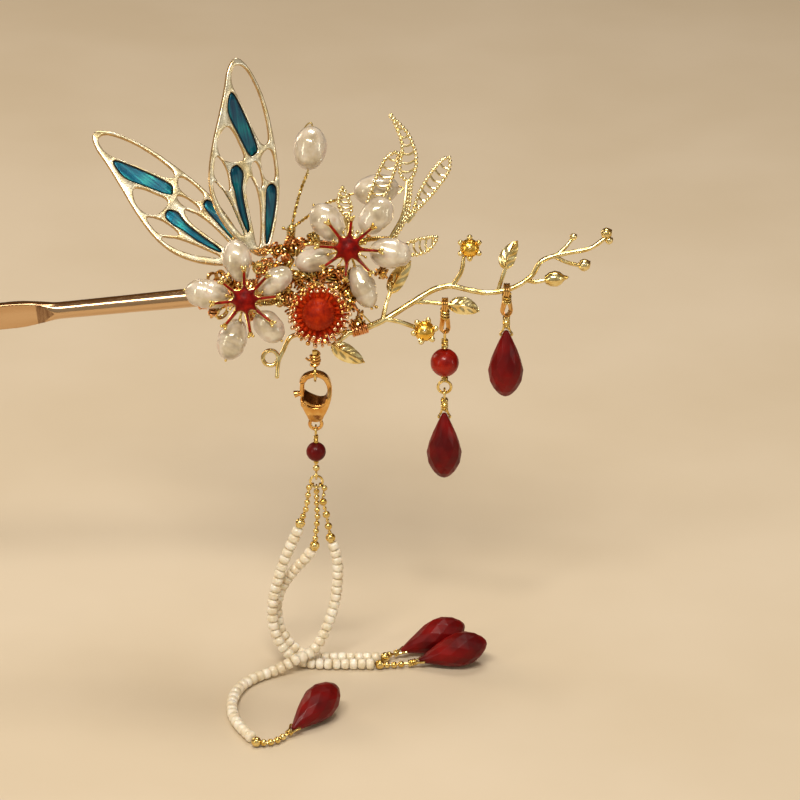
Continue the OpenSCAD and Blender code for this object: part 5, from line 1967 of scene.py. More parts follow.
@dataclass
class WiredStone:
    """A cut stone on its wire: a pin through its point, two legs, a wound neck and what it hangs by."""

    name: str
    stone_node: str
    body: Body
    place: Matrix
    neck_length: float
    leg_out: float = 0.97
    leg_in: float = 0.42
    hole_depth: float = 0.8
    neck_start: float = 0.45
    neck_r: float = 0.42
    # How far the neck's winding stays inside its ends.
    neck_inset: float = 0.12
    wire_r: float = 0.2
    length: float = 12.0
    radius: float = 3.0
    sides: int = 10
    rows: Outline = (
        (0, 0.12), (0.13, 0.36), (0.3, 0.65), (0.46, 0.88), (0.6, 1), (0.74, 0.94), (0.87, 0.7), (0.96, 0.38),
        (1, 0.12),
    )
    softened_mm: float = 0.09

    def wire(self, form: Form) -> None:
        """Adds the pin, the legs and the wound neck to a form.

        Args:
            form: The form that gets them.
        """
        foot = -self.hole_depth
        top = self.neck_start + self.wire_r
        for side in (-1, 1):
            legs = [(0, 0, foot), (side * self.leg_out * 0.9, 0, foot), (side * self.leg_out, 0, foot + 0.2),
                    (side * 0.8, 0, -0.3), (side * 0.58, 0, 0.08), (side * self.leg_in, 0, top)]
            form.tube([self.place @ p for p in smooth(vectors(legs), 5)], self.wire_r, 0, 8)
        ends = (self.neck_start + self.neck_inset, self.neck_start + self.neck_length - self.neck_inset)
        axis = [self.place @ Vector((0, 0, z)) for z in ends]
        form.tube(stepped(axis, 0.4), self.neck_r, 0, 12)
        form.winding(axis, self.neck_r + 0.05, 0.18, 0.34, 0, steps=16, sides=7, waver=0.12)
        form.ball(self.place @ Vector((0.25, 0, self.neck_start + 0.15)), 0.36, 0, 10)

    def stone(self, palette: Palette) -> None:
        """Builds the cut stone, its facet edges softened.

        Args:
            palette: The finishes.
        """
        mesh = Form()
        for i, (depth, share) in enumerate(self.rows):
            row = circle(share * self.radius, -depth * self.length, self.sides, 0.5 * (i % 2))
            mesh.points.extend(self.place @ p for p in row)
        for i in range(len(self.rows) - 1):
            low, high = i * self.sides, (i + 1) * self.sides
            for k in range(self.sides):
                n = (k + 1) % self.sides
                a, b, c, d = low + k, low + n, high + k, high + n
                for facet in ((a, b, c), (b, d, c)) if i % 2 == 0 else ((a, b, d), (a, d, c)):
                    mesh.face(facet, 0)
        mesh.face(range(self.sides), 0)
        mesh.face(range(len(mesh.points) - self.sides, len(mesh.points)), 0)
        piece = mesh.piece(f"{self.name}_stone", [palette.red_glass], 2)
        soften = piece.modifiers.new("softened_edges", "BEVEL")
        soften.width, soften.segments, soften.limit_method = self.softened_mm * MM, 2, "ANGLE"
        soften.angle_limit = math.radians(4)
        soften.harden_normals = True
        settle(piece, self.body, Slot.DARK_RED_GLASS, self.stone_node)


@dataclass
class Bail:
    """Long loop of three turns about the X axis, wrapped below its upper bend and twisted there."""

    pivot: Vector
    inner_r: float
    length: float
    wire_r: float = 0.24
    bend_steps: int = 12
    # How far its lower bend is turned from its upper one, so that its eye shows from the front.
    twist: float = math.radians(62)
    lower_narrowed: float = 0.8
    wrap_turns: float = 3.5
    wrap_steps: int = 24
    # Where the wrap starts and how far it goes down, as shares of the length.
    wrap_start: float = 0.2
    wrap_height: float = 0.42

    def turn(self, shift: float) -> list[Vector]:
        """Draws one of its turns.

        Args:
            shift: How far it lies to the side of the middle turn.

        Returns:
            The closed line.
        """
        middle = self.inner_r + self.wire_r
        upper, lower = [], []
        for k in range(self.bend_steps + 1):
            a = math.pi * k / self.bend_steps
            upper.append(self.pivot + Vector((shift, middle * math.cos(a), middle * math.sin(a))))
            a = math.pi + a
            across = middle * math.cos(a) * self.lower_narrowed
            sideways = across * math.sin(self.twist) + shift * math.cos(self.twist)
            inwards = across * math.cos(self.twist) - shift * math.sin(self.twist)
            lower.append(self.pivot + Vector((sideways, inwards, middle * math.sin(a) - self.length)))
        return [*upper, *lower, upper[0].copy()]

    def add(self, form: Form) -> None:
        """Adds the loops in the second finish, and the wrap round them in the first.

        Args:
            form: The form that gets them.
        """
        for shift in (-1.5 * self.wire_r, 0.0, 1.5 * self.wire_r):
            form.tube(self.turn(shift), self.wire_r * 0.78, 1, 8)
        middle = self.inner_r + self.wire_r
        count = self.wrap_turns * self.wrap_steps
        wrap = []
        for k in range(int(count) + 1):
            a = math.tau * k / self.wrap_steps
            drop = self.length * (self.wrap_start + self.wrap_height * k / count)
            spot = Vector((2.6 * self.wire_r * math.cos(a), 1.26 * middle * math.sin(a), -drop))
            wrap.append(self.pivot + spot)
        form.tube(wrap, self.wire_r * 0.8, 0, 8)


@dataclass
class HangingDrops:
    """The two drops that hang from the twig."""

    left_pivot: Point = (65.8, 0.5, 1.2)
    right_pivot: Point = (76.1, 1.5, 3.2)
    left_bail_r: float = 0.62
    left_bail_length: float = 4.4
    right_bail_r: float = 0.78
    right_bail_length: float = 3.6
    link_wire_r: float = 0.24
    link_top_z: float = -4.0
    link_foot_z: float = -13.1
    # Low and high end of each wound part of the link.
    link_necks: Outline = ((-7.0, -5.4), (-13.0, -12.25))
    link_ring_z: float = -14.1
    link_ring_r: float = 1.1
    bead_z: float = -9.6
    bead_r: float = 2.4
    bead_bore: float = 0.36
    drop_loop_z: float = -15.3
    drop_loop_r: float = 0.83
    stone_left_z: float = -19.0
    stone_right_z: float = -4.2

    def at(self, z: float) -> Vector:
        """Gives the point at a height on the left drop's upright line."""
        return Vector((*self.left_pivot[:2], z))

    def link(self, palette: Palette) -> None:
        """Builds the bead link that the left drop hangs from.

        Args:
            palette: The finishes.
        """
        wire = Form()
        Bail(Vector(self.left_pivot), self.left_bail_r, self.left_bail_length).add(wire)
        wire.tube([self.at(self.link_top_z), self.at(self.link_foot_z)], self.link_wire_r, 0, 10)
        for low, high in self.link_necks:
            neck = [self.at(low), self.at(high)]
            wire.winding(neck, 0.46, 0.16, 0.3, 0, waver=0.12)
            wire.tube(neck, 0.42, 0, 10)
        wire.ring(self.at(self.link_ring_z), AWAY, self.link_ring_r, 0.25, 0, 36, 10)
        finishes = [palette.yellow_gold, palette.orange_gold]
        settle(wire.piece("bead_link_wire", finishes), Body.BEAD_LINK, Slot.YELLOW_GOLD, "link_wire")
        bead = Form()
        profile = bead_profile(self.bead_r, self.bead_r, self.bead_bore)
        bead.turned(profile, facing(self.at(self.bead_z), UP), 0, 48, joined=True)
        carnelian = bead.piece("bead_link_bead", [palette.polished_carnelian], 80)
        settle(carnelian, Body.BEAD_LINK, Slot.CARNELIAN, "link_bead")

    def build(self, palette: Palette) -> None:
        """Builds the bead link, then both stones on their wires.

        Args:
            palette: The finishes.
        """
        self.link(palette)
        neck = -self.stone_left_z + self.drop_loop_z - self.drop_loop_r - WiredStone.neck_start
        place = Matrix.Translation(self.at(self.stone_left_z))
        first = WiredStone("hanging_left", "drop_left_stone", Body.DROP_LEFT, place, neck)
        wire = Form()
        first.wire(wire)
        wire.ring(self.at(self.drop_loop_z), ALONG, self.drop_loop_r, first.wire_r, 0, 30)
        hook = wire.piece("drop_left_hook", [palette.yellow_gold])
        settle(hook, Body.DROP_LEFT, Slot.YELLOW_GOLD, "drop_left_wire")
        first.stone(palette)
        x, y, z = self.right_pivot
        bail = Bail(Vector(self.right_pivot), self.right_bail_r, self.right_bail_length)
        neck = z - bail.length - bail.inner_r - bail.wire_r - self.stone_right_z - WiredStone.neck_start
        place = Matrix.Translation((x, y, self.stone_right_z))
        second = WiredStone("hanging_right", "drop_right_stone", Body.DROP_RIGHT, place, neck)
        wire = Form()
        second.wire(wire)
        bail.add(wire)
        hook = wire.piece("drop_right_hook", [palette.yellow_gold, palette.orange_gold])
        settle(hook, Body.DROP_RIGHT, Slot.YELLOW_GOLD, "drop_right_wire")
        second.stone(palette)


def bead_profile(
    radius: float, half_height: float, bore: float, rows: int = 20, squareness: float = 2.0
) -> list[Flat]:
    """Draws the closed profile of a drilled bead.

    Args:
        radius: Its radius.
        half_height: Half of its height.
        bore: Radius of its hole.
        rows: Points on its outer side.
        squareness: 2 for an ellipse; more is squarer.

    Returns:
        The points as (radius, height).
    """
    start = math.asin(min(0.9, (bore / radius) ** (squareness / 2)))
    power = 2 / squareness
    outer = []
    for i in range(rows + 1):
        a = start + (math.pi - 2 * start) * i / rows
        c = math.cos(a)
        outer.append((radius * math.sin(a) ** power, half_height * math.copysign(abs(c) ** power, c)))
    return [*outer, (bore * 0.9, outer[-1][1] * 0.9), (bore * 0.9, outer[0][1] * 0.9)]


# Clasp and tassel


@dataclass
class LobsterClasp:
    """Spring clasp that hangs from a wound eye: body, lever and the ring at its foot."""

    x: float = 44.2
    y: float = -5.5
    eye_top: float = -4.7
    eye_foot: float = -7.5
    eye_ring_z: float = -8.85
    eye_ring_r: float = 1.25
    wire_ends: Sequence[tuple[Point, Point, Point]] = (
        ((0.5, -5.6, 0.3), (0.75, -5.2, 0.1), (0.4, -4.9, -0.2)),
        ((-0.3, -6.3, 0.7), (-1.0, -6.2, 0.6), (-1.5, -5.9, 0.3)),
    )
    thickness: float = 1.5
    edge: float = 0.24
    body_outline: Outline = (
        (-2.62, -10.35), (-2.3, -9.6), (-1.6, -8.95), (0, -8.45), (1.6, -8.95), (2.55, -10.3), (2.75, -12.3),
        (2.3, -14.4), (1.5, -16.2), (0.9, -17.3), (-0.9, -17.3), (-1.5, -16.2), (-2.3, -14.4),
        (-2.52, -13.35), (-1.98, -13.35), (-1.2, -14.3), (0.2, -14.6), (1.5, -13.9), (2, -12.4), (1.9, -11),
        (1.2, -9.75), (0, -9.35), (-1.2, -9.75), (-1.72, -10.35),
    )
    # The lower half is thicker: by how much, and between which heights it swells.
    belly: float = 0.75
    belly_top: float = -10.6
    belly_foot: float = -13.6
    narrow_foot: float = -17.4
    # The opening: its height, half its width, and how far its floor rises towards the back.
    hole_foot: float = -14.6
    hole_middle: float = -11.6
    hole_half_w: float = 2.0
    dish: float = 1.3
    lip: Outline = (
        (-1.85, -13.4), (-1.1, -14.0), (-0.1, -14.34), (0.9, -14.32), (1.6, -13.85), (1.95, -13.0),
    )
    lip_front: float = 1.14
    lip_r: float = 0.22
    foot_rings: tuple[float, float] = (-17.35, -18.1)
    lever_pivot: Flat = (-1.9, -14.1)
    arm: Outline = ((-1.9, -14.1), (-2.05, -13.5), (-2.2, -12.8), (-2.22, -11.6), (-2.16, -10.7))
    arm_r: float = 0.42
    thumb: Outline = ((-2.3, -12.6), (-2.9, -12.55), (-3.5, -12.7))
    thumb_r: float = 0.34

    def swell(self, form: Form) -> None:
        """Thickens the lower half, where the spring sits, and dishes the inside up towards its back.

        Args:
            form: The form with the clasp's body.
        """
        for point in form.points:
            t = max(0.0, min(1.0, (self.belly_top - point.z) / (self.belly_top - self.belly_foot)))
            narrow = max(0.0, min(1.0, (point.z - self.narrow_foot) / 1.6))
            point.y = self.y + (point.y - self.y) * (1 + self.belly * t * t * (3 - 2 * t) * narrow)
            across = abs(point.x - self.x) < self.hole_half_w + 0.12
            inside = across and self.hole_foot - 0.3 < point.z < self.hole_middle
            if inside and point.y > self.y + 0.3:
                lift = self.dish * (1 - 0.3 * (point.x - self.x))
                point.z += lift * (self.hole_middle - point.z) / (self.hole_middle - self.hole_foot)

    def darken(self, form: Form) -> None:
        """Gives the floor of the opening a dark copy of the gold: painted shade.

        Args:
            form: The form with the clasp's body.
        """
        for number, corners in enumerate(form.faces):
            middle = sum((form.points[c] for c in corners), Vector()) / len(corners)
            across = abs(middle.x - self.x) < self.hole_half_w and abs(middle.y - self.y) < 0.8
            if across and self.hole_foot - 0.1 < middle.z < self.hole_middle - 0.5:
                form.finishes[number] = 1

    def spot(self, across: float, up: float, front: float = 0.0) -> Vector:
        """Gives a point of the clasp from its own flat coordinates."""
        return Vector((self.x + across, self.y - front, up))

    def eye(self, palette: Palette) -> None:
        """Builds the wound eye that the clasp hangs from.

        Args:
            palette: The finishes.
        """
        form = Form()
        foot = self.spot(0, self.eye_foot)
        form.tube([foot, self.spot(0, self.eye_top)], 0.5, 0, 12)
        wound = [foot, self.spot(0, self.eye_top - 0.6)]
        form.winding(wound, 0.7, 0.25, 0.52, 1, steps=22, sides=8, waver=0.35)
        form.ring(self.spot(0, self.eye_ring_z), ALONG, self.eye_ring_r, 0.22, 0, 36, 10)
        for route in self.wire_ends:
            form.tube(smooth([self.spot(*p) for p in route], 4), 0.2, 1, 8)
        finishes = [palette.yellow_gold, palette.orange_gold]
        settle(form.piece("clasp_eye_wire", finishes), Body.PIN, Slot.YELLOW_GOLD, "clasp_eye")

    def body(self, palette: Palette) -> None:
        """Builds the cast body with the lever's rivets, the lip of its opening and its foot rings.

        Args:
            palette: The finishes.
        """
        form = Form()
        outline = smooth([Vector((x, y, 0)) for x, y in self.body_outline], 5, closed=True)
        place = Matrix.Translation((self.x, self.y, 0)) @ UPRIGHT
        form.plate([(p.x, p.y) for p in outline], [], self.thickness, self.edge, place, 0, 4)
        self.swell(form)
        self.darken(form)
        cheek = [(0.0, 0.1), (0.45, 0.06), (0.55, -0.05), (0.55, -0.14), (0.0, -0.16)]
        for side in (-1, 1):
            middle = self.spot(*self.lever_pivot, side * 1.22)
            form.turned(cheek, facing(middle, Vector((0, -side, 0))), 0, 20)
            form.ball(self.spot(*self.lever_pivot, side * 1.3), 0.2, 0, 10)
        form.tube(smooth([self.spot(*p, self.lip_front) for p in self.lip], 6), self.lip_r, 0, 14)
        collar, loop = self.foot_rings
        form.ring(self.spot(0, collar), UP, 0.62, 0.2, 0, 24, 8)
        form.ring(self.spot(0, loop), AWAY, 1.0, 0.3, 0, 32, 10)
        finishes = [palette.orange_gold, palette.shaded_inside_gold]
        settle(form.piece("clasp_body_casting", finishes, 45), Body.PIN, Slot.YELLOW_GOLD, "clasp_body")

    def lever(self, palette: Palette) -> None:
        """Builds the lever with its thumb tab.

        Args:
            palette: The finishes.
        """
        form = Form()
        arm = smooth([self.spot(*p) for p in self.arm], 5)
        form.tube(arm, self.arm_r, 0, 14, 0.85)
        form.ball(arm[-1], 0.4, 0, 12)
        thumb = smooth([self.spot(*p) for p in self.thumb], 5)
        form.tube(thumb, [self.thumb_r + 0.03 * i for i in range(len(thumb))], 0, 14)
        arm_piece = form.piece("clasp_lever_arm", [palette.orange_gold])
        settle(arm_piece, Body.CLASP_LEVER, Slot.YELLOW_GOLD, "clasp_lever")

    def build(self, palette: Palette) -> None:
        """Builds the eye, the body and the lever.

        Args:
            palette: The finishes.
        """
        self.eye(palette)
        self.body(palette)
        self.lever(palette)


@dataclass
class SeedStrand:
    """A strand of ivory seed beads threaded on a cord along a route."""

    name: str
    node: str
    route: Route
    seed: int
    radius: float = 0.98
    pitch: float = 1.42
    bore: float = 0.3
    tilt: float = 0.06
    cord_r: float = 0.28
    squareness: float = 3.1

    def build(self, palette: Palette) -> None:
        """Builds each bead a little different in size and tilt, and the cord between them.

        Args:
            palette: The finishes.
        """
        chance = random.Random(self.seed)
        line = smooth(vectors(self.route), 8)
        spots = stepped(line, self.pitch)
        form = Form()
        for start, end in zip(spots, spots[1:]):
            middle = (start + end) / 2
            way = (end - start).normalized()
            tilt = Vector((chance.uniform(-1, 1), chance.uniform(-1, 1), chance.uniform(-1, 1))) * self.tilt
            size = self.radius * chance.uniform(0.95, 1.0)
            height = self.pitch * chance.uniform(0.49, 0.52)
            profile = bead_profile(size, height, self.bore, 12, self.squareness)
            form.turned(profile, facing(middle, (way + tilt).normalized()), 0, 18, joined=True)
        form.tube(stepped(line, 1.0), self.cord_r, 0, 8)
        settle(form.piece(self.name, [palette.seed_bead], 60), Body.PIN, Slot.IVORY_SEED_BEADS, self.node)


@dataclass
class Tassel:
    """Three strands on a ring below the clasp, with their heads, end balls and lying stones."""

    x: float = 44.2
    y: float = -5.5
    hook_ring_z: float = -19.3
    hook_foot_z: float = -26.9
    # Height and radius of each ball on the hook's wire.
    hook_balls: Outline = ((-21.45, 0.42), (-25.2, 0.44), (-26.35, 0.6))
    foot_ring_z: float = -27.6
    bead_z: float = -23.3
    bead_r: float = 1.65
    ring_z: float = -28.9
    ring_r: float = 1.05
    ring_wire_r: float = 0.21
    first_ball_r: float = 0.52
    end_ball_r: float = 0.85
    # Name, turn on the ring in degrees, spacing and radius of the balls, and course of each head.
    heads: Sequence[tuple[str, float, float, float, Route]] = (
        ("left", -50, 1.3, 0.52, (
            (42.95, -5.6, -30), (42.75, -5.8, -31.4), (42.5, -5.9, -33.6), (41.4, -6, -36.5))),
        ("middle", 0, 1.3, 0.52, (
            (44.2, -5.5, -30.75), (44.2, -5, -33), (44.3, -4.8, -35.8), (43.8, -5.8, -40.9))),
        ("right", 50, 2.3, 0.66, (
            (45.55, -5.6, -30.1), (45.2, -6.3, -31.8), (45.8, -6.4, -34.4), (46.5, -5.6, -39.5))),
    )
    routes: dict[str, Route] = field(
        default_factory=lambda: {
            "left": (
                (41.15, -6, -37.4), (40.3, -6, -39.5), (39.2, -6, -42), (37.8, -6, -46), (36.8, -6, -50),
                (36.4, -6.2, -54), (36.9, -6.7, -57.3), (38.2, -7.4, -59.8), (40, -8.2, -61.4),
                (42.5, -8.8, -62), (46, -9.2, -62), (50, -9.2, -62), (53.9, -9.2, -62),
            ),
            "middle": (
                (43.4, -5.8, -41.7), (42.4, -5.7, -43.2), (40.8, -5.1, -45.3), (38.9, -4.3, -48.2),
                (37.6, -3.95, -51), (37.1, -4.05, -54), (37.6, -4.6, -57.2), (39.1, -5.35, -59.8),
                (41.3, -6.2, -61.5), (44.5, -6.8, -62), (48, -7, -62), (51, -7, -62), (54.8, -7, -62),
            ),
            "right": (
                (46.75, -5.6, -40.4), (47.3, -5.5, -42.2), (47.7, -5.5, -44.6), (47.6, -5.6, -48.1),
                (47.1, -5.9, -52), (46, -6.7, -55.4), (44.6, -8, -58.2), (43, -9.3, -59.8),
                (41, -10.5, -60.1), (39, -11.2, -61), (36.9, -11.9, -61.8), (34.3, -13.4, -62),
                (32, -15.8, -62), (30.6, -19, -62), (30, -23.4, -62), (30.7, -27.8, -62),
                (32.2, -31.4, -62), (34, -34.4, -62),
            ),
        }
    )
    # Name, end ball, chain, point of the stone, the way the stone lies, and length of its neck.
    ends: Sequence[tuple[str, Point, Route, Point, Point, float]] = (
        ("left", (54.85, -9.2, -62.1), ((56.9, -9.1, -62.3), (58.6, -8.9, -62.2)), (61.6, -8.6, -61.7),
         (11.6, 1.2, 3), 1.6),
        ("middle", (55.75, -6.8, -62), ((56.3, -6.2, -61.9),), (58.5, -5.2, -61.7), (11, 4, 3), 1.0),
        ("right", (34.6, -35.3, -62.1), ((36.4, -35.45, -62.3), (38, -34.6, -62.2)), (40.5, -31.9, -61.7),
         (7.2, 9.3, 3), 0.9),
    )

    def at(self, z: float) -> Vector:
        """Gives the point at a height on the upright line through the clasp."""
        return Vector((self.x, self.y, z))

    def top(self, palette: Palette) -> None:
        """Builds the wire from the clasp, its bead and the ring that carries the strands.

        Args:
            palette: The finishes.
        """
        wire = Form()
        wire.ring(self.at(self.hook_ring_z), ALONG, 0.8, 0.19, 0, 28)
        wire.tube([self.at(self.hook_ring_z - 0.7), self.at(self.hook_foot_z)], 0.22, 0, 8)
        wire.winding([self.at(-21.2), self.at(-20.3)], 0.3, 0.13, 0.3, 0, waver=0.12)
        for height, radius in self.hook_balls:
            wire.ball(self.at(height), radius, 0, 16)
        wire.ring(self.at(self.foot_ring_z), ALONG, 0.75, 0.19, 0, 28)
        hook = wire.piece("tassel_hook_wire", [palette.yellow_gold])
        settle(hook, Body.PIN, Slot.YELLOW_GOLD, "tassel_wire")
        bead = Form()
        profile = bead_profile(self.bead_r, self.bead_r, 0.3)
        bead.turned(profile, facing(self.at(self.bead_z), UP), 0, 40, joined=True)
        garnet = bead.piece("tassel_garnet_bead", [palette.red_glass], 80)
        settle(garnet, Body.PIN, Slot.DARK_RED_GLASS, "tassel_bead")
        ring = Form()
        ring.ring(self.at(self.ring_z), AWAY, self.ring_r, self.ring_wire_r, 0, 32, 10)
        jump_ring = ring.piece("tassel_jump_ring", [palette.yellow_gold])
        settle(jump_ring, Body.PIN, Slot.YELLOW_GOLD, "tassel_ring")

    def head(
        self, name: str, turn: float, pitch: float, ball_r: float, route: Route, palette: Palette
    ) -> None:
        """Builds one head: a loop on the ring, a chain of balls and the end ball over the strand.

        Args:
            name: The strand's name.
            turn: Where the loop sits on the ring, in degrees from its lowest point.
            pitch: Spacing of the balls.
            ball_r: Radius of the balls after the first.
            route: Course of the chain.
            palette: The finishes.
        """
        form = Form()
        angle = math.radians(turn)
        loop = self.at(self.ring_z) + 1.17 * Vector((math.sin(angle), 0, -math.cos(angle)))
        form.ring(loop, Matrix.Rotation(-angle, 3, "Y") @ ALONG, 0.5, 0.15, 0, 24, 8)
        line = vectors(route)
        form.tube(line, 0.15, 0, 8)
        spots = stepped(line, pitch)
        form.ball(spots[0], self.first_ball_r, 0, 16)
        for spot in spots[1:-1]:
            form.ball(spot, ball_r, 0, 16)
        for a, b in zip(spots, spots[1:]):
            form.ball((a + b) / 2, ball_r / 2, 0, 12)
        form.ball(line[-1], self.end_ball_r, 0, 24)
        way = (line[-1] - line[-2]).normalized()
        for sign, ring_r in ((1, 0.42), (-1, 0.3)):
            form.ring(line[-1] + sign * way * 0.72, way, ring_r, 0.14, 0, 20, 8)
        chain = form.piece(f"tassel_head_{name}_chain", [palette.yellow_gold])
        settle(chain, Body.PIN, Slot.YELLOW_GOLD, f"head_{name}")

    def end(
        self, name: str, ball: Point, chain: Route, point: Point, way: Point, neck: float,
        palette: Palette,
    ) -> None:
        """Builds one lower end: the end ball, the chain, and the stone that lies on the surface.

        Args:
            name: The strand's name.
            ball: Centre of the end ball.
            chain: Course of the chain after it.
            point: Where the stone's point is.
            way: The way from the point to the stone's round end.
            neck: Length of the wound neck.
            palette: The finishes.
        """
        form = Form()
        up = -Vector(way).normalized()
        place = (
            Matrix.Translation(point)
            @ Matrix.Rotation(math.atan2(up.y, up.x), 4, "Z")
            @ Matrix.Rotation(math.acos(up.z), 4, "Y")
            @ Matrix.Rotation(math.radians(90), 4, "Z")
        )
        stone = WiredStone(f"lying_{name}", f"end_drop_{name}", Body.PIN, place, neck)
        stone.wire(form)
        neck_end = Vector(point) + up * (stone.neck_start + neck - 0.1)
        route = [*vectors([ball, *chain]), neck_end]
        form.tube(route, 0.2, 0, 8)
        form.ball(route[0], self.end_ball_r, 0, 24)
        for joint in stepped(route, 1.25)[1:-1]:
            form.ball(joint, 0.58, 0, 16)
        links = form.piece(f"strand_end_{name}_chain", [palette.yellow_gold])
        settle(links, Body.PIN, Slot.YELLOW_GOLD, f"end_{name}")
        stone.stone(palette)

    def build(self, palette: Palette) -> None:
        """Builds the whole tassel.

        Args:
            palette: The finishes.
        """
        self.top(palette)
        for head in self.heads:
            self.head(*head, palette)
        for number, (name, route) in enumerate(self.routes.items()):
            SeedStrand(f"seed_beads_{name}", f"strand_{name}", route, 40 + number).build(palette)
        for end in self.ends:
            self.end(*end, palette)


# The studio


@dataclass
class Studio:
    """Pale board, soft lights and the camera at the photograph's angle."""

    target: Point = (58.3, -6.25, -13.4)
    elevation: float = 25.0
    distance: float = 600.0
    lens: float = 162.0
    sensor: float = 36.0
    clip: tuple[float, float] = (0.05, 20.0)
    floor_z: float = -63.0
    floor_size: float = 4000.0
    wall_behind: str = "#1e1813"
    ceiling: str = "#8c6a48"
    wall_before: str = "#ddd3c4"
    world_strength: float = 0.5
    # Name, place, aim, width, height, power in watts and colour of each light.
    lights: Sequence[tuple[str, Point, Point, float, float, float, str]] = (
        ("key_softbox", (-30, -335, 490), (50, -5, 0), 330, 100, 2.5, "#fff6ea"),
        ("upper_card", (200, -212, 424), (20, 10, 17), 44, 60, 0.028, "#fffdf8"),
        ("side_card", (330, -312, 258), (31, 10, 17), 60, 60, 0.026, "#fffdf8"),
        ("top_softbox", (90, 160, 520), (50, 0, 0), 260, 140, 1.3, "#fffaf2"),
        ("rim_softbox", (-380, 330, 190), (60, 0, 0), 160, 260, 0.6, "#ffe9cc"),
        ("left_strip", (-330, -300, 150), (60, 0, 0), 60, 260, 0.28, "#fff4e4"),
        ("right_strip", (560, -190, 120), (60, 0, 0), 60, 220, 0.2, "#fff4e4"),
    )

    def camera(self) -> None:
        """Makes the camera."""
        up = math.radians(self.elevation)
        target = Vector(self.target) * MM
        back = Vector((0, -math.cos(up), math.sin(up)))
        data = bpy.data.cameras.new("photo_angle")
        data.lens, data.sensor_width = self.lens, self.sensor
        data.clip_start, data.clip_end = self.clip
        camera = bpy.data.objects.new("photo_angle", data)
        camera.location = target + back * self.distance * MM
        camera.rotation_euler = (-back).to_track_quat("-Z", "Y").to_euler()
        bpy.context.scene.collection.objects.link(camera)
        bpy.context.scene.camera = camera

    def light_up(self) -> None:
        """Makes the soft lights, and a room that is pale before the object and dark behind it."""
        for name, spot, aim, width, height, power, tint in self.lights:
            data = bpy.data.lights.new(name, "AREA")
            data.shape, data.size, data.size_y = "RECTANGLE", width * MM, height * MM
            data.energy, data.color = power, linear(tint)[:3]
            lamp = bpy.data.objects.new(name, data)
            lamp.location = Vector(spot) * MM
            lamp.rotation_euler = (Vector(aim) - Vector(spot)).to_track_quat("-Z", "Y").to_euler()
            bpy.context.scene.collection.objects.link(lamp)
        room = bpy.data.worlds.new("dim_room")
        room.use_nodes = True
        tree = room.node_tree
        place = add_node(tree, "TexCoord").outputs["Generated"]
        ways = add_node(tree, "SeparateXYZ", {}, {"Vector": place})
        before = add_node(
            tree, "MapRange", {"From Min": 0.35, "From Max": -0.55, "To Min": 0.0, "To Max": 1.0},
            {"Value": ways.outputs["Y"]},
        )
        stops = [(0.06, self.wall_behind), (0.3, self.ceiling)]
        rear = add_node(tree, "ValToRGB", {"stops": stops}, {"Fac": ways.outputs["Z"]})
        walls = add_node(
            tree, "Mix", {"data_type": "RGBA", MIX_B: linear(self.wall_before)},
            {"Factor": before, MIX_A: rear},
        )
        background = tree.nodes["Background"]
        fill(tree, background, {"Strength": self.world_strength}, {"Color": walls.outputs[MIX_OUT]})
        bpy.context.scene.world = room

    def grade(self) -> None:
        """Sets the plain film curve, which keeps the reds and golds deep."""
        view = bpy.context.scene.view_settings
        view.view_transform, view.look = "Standard", "None"
        view.exposure, view.gamma = 0.0, 1.0

    def floor(self, palette: Palette) -> None:
        """Makes the board that the strand ends lie on.

        Args:
            palette: The finishes.
        """
        half = self.floor_size / 2
        sheet = Form()
        for x, y in ((-half, -half), (half, -half), (half, half), (-half, half)):
            sheet.points.append(Vector((x, y, self.floor_z)))
        sheet.face((0, 1, 2, 3), 0)
        board = sheet.piece("board", [palette.board])


# The whole


FLOWER_LEFT = PearlFlower(
    "left", (32.8, -6.5, 1.6),
    (((31.5, -6.5, 8.2), 7.3, 5.3), ((26.5, -6.5, 2.7), 7.6, 5.4), ((30.7, -6.5, -4.8), 7.2, 5.4),
     ((36.7, -6.7, -2.7), 6.2, 5), ((37.7, -7, 4.8), 6.6, 4.6)),
    ((32.7, 6.6), (36.5, 5.5), (38.3, 2.2), (37.3, -2.1), (33.8, -4), (29.6, -2.6), (27.6, 1), (29.1, 4.5)),
    (((-0.6, 0.2, 0.32),), ((0.3, 0.06, 0.1), (-0.05, 0.06, 0.1)), ((0.2, 0.08, 0.09), (-0.6, 0.12, 0.3)),
     ((0.0, 0.06, 0.25),), ((-0.25, 0.12, 0.2), (0.45, 0.05, 0.15))),
    3,
)
FLOWER_RIGHT = PearlFlower(
    "right", (49.75, -4.2, 10.2),
    (((46.2, -4.2, 14.7), 7, 5.6), ((54.3, -4.2, 15.7), 7.2, 5.6), ((56.7, -4.2, 9.5), 7.3, 5.6),
     ((52.2, -4, 4), 7.7, 4.6), ((44.1, -3.6, 8.5), 6.8, 4.6)),
    ((50.3, 15), (53.8, 13.6), (55.1, 9.7), (53.4, 6.2), (49.3, 5.2), (45.7, 7.1), (44.7, 10.5),
     (46.5, 14.3)),
    (((-0.4, 0.1, 0.25),), ((-0.3, 0.06, 0.3),), ((0.5, 0.07, 0.14), (-0.1, 0.05, 0.2)),
     ((0.35, 0.12, 0.09), (-0.5, 0.08, 0.3)), ((0.1, 0.06, 0.3),)),
    17,
)
PEARL_TOP: Petal = ((43.3, 0, 27.2), 7.6, 5.8)
PEARL_SIDE: Petal = ((54.3, 5, 20.5), 8, 5.6)
PEARL_TOP_WAY = Vector((0.1, 0, 1))
PEARL_SIDE_WAY = Vector((1, 0.1, 0.15))
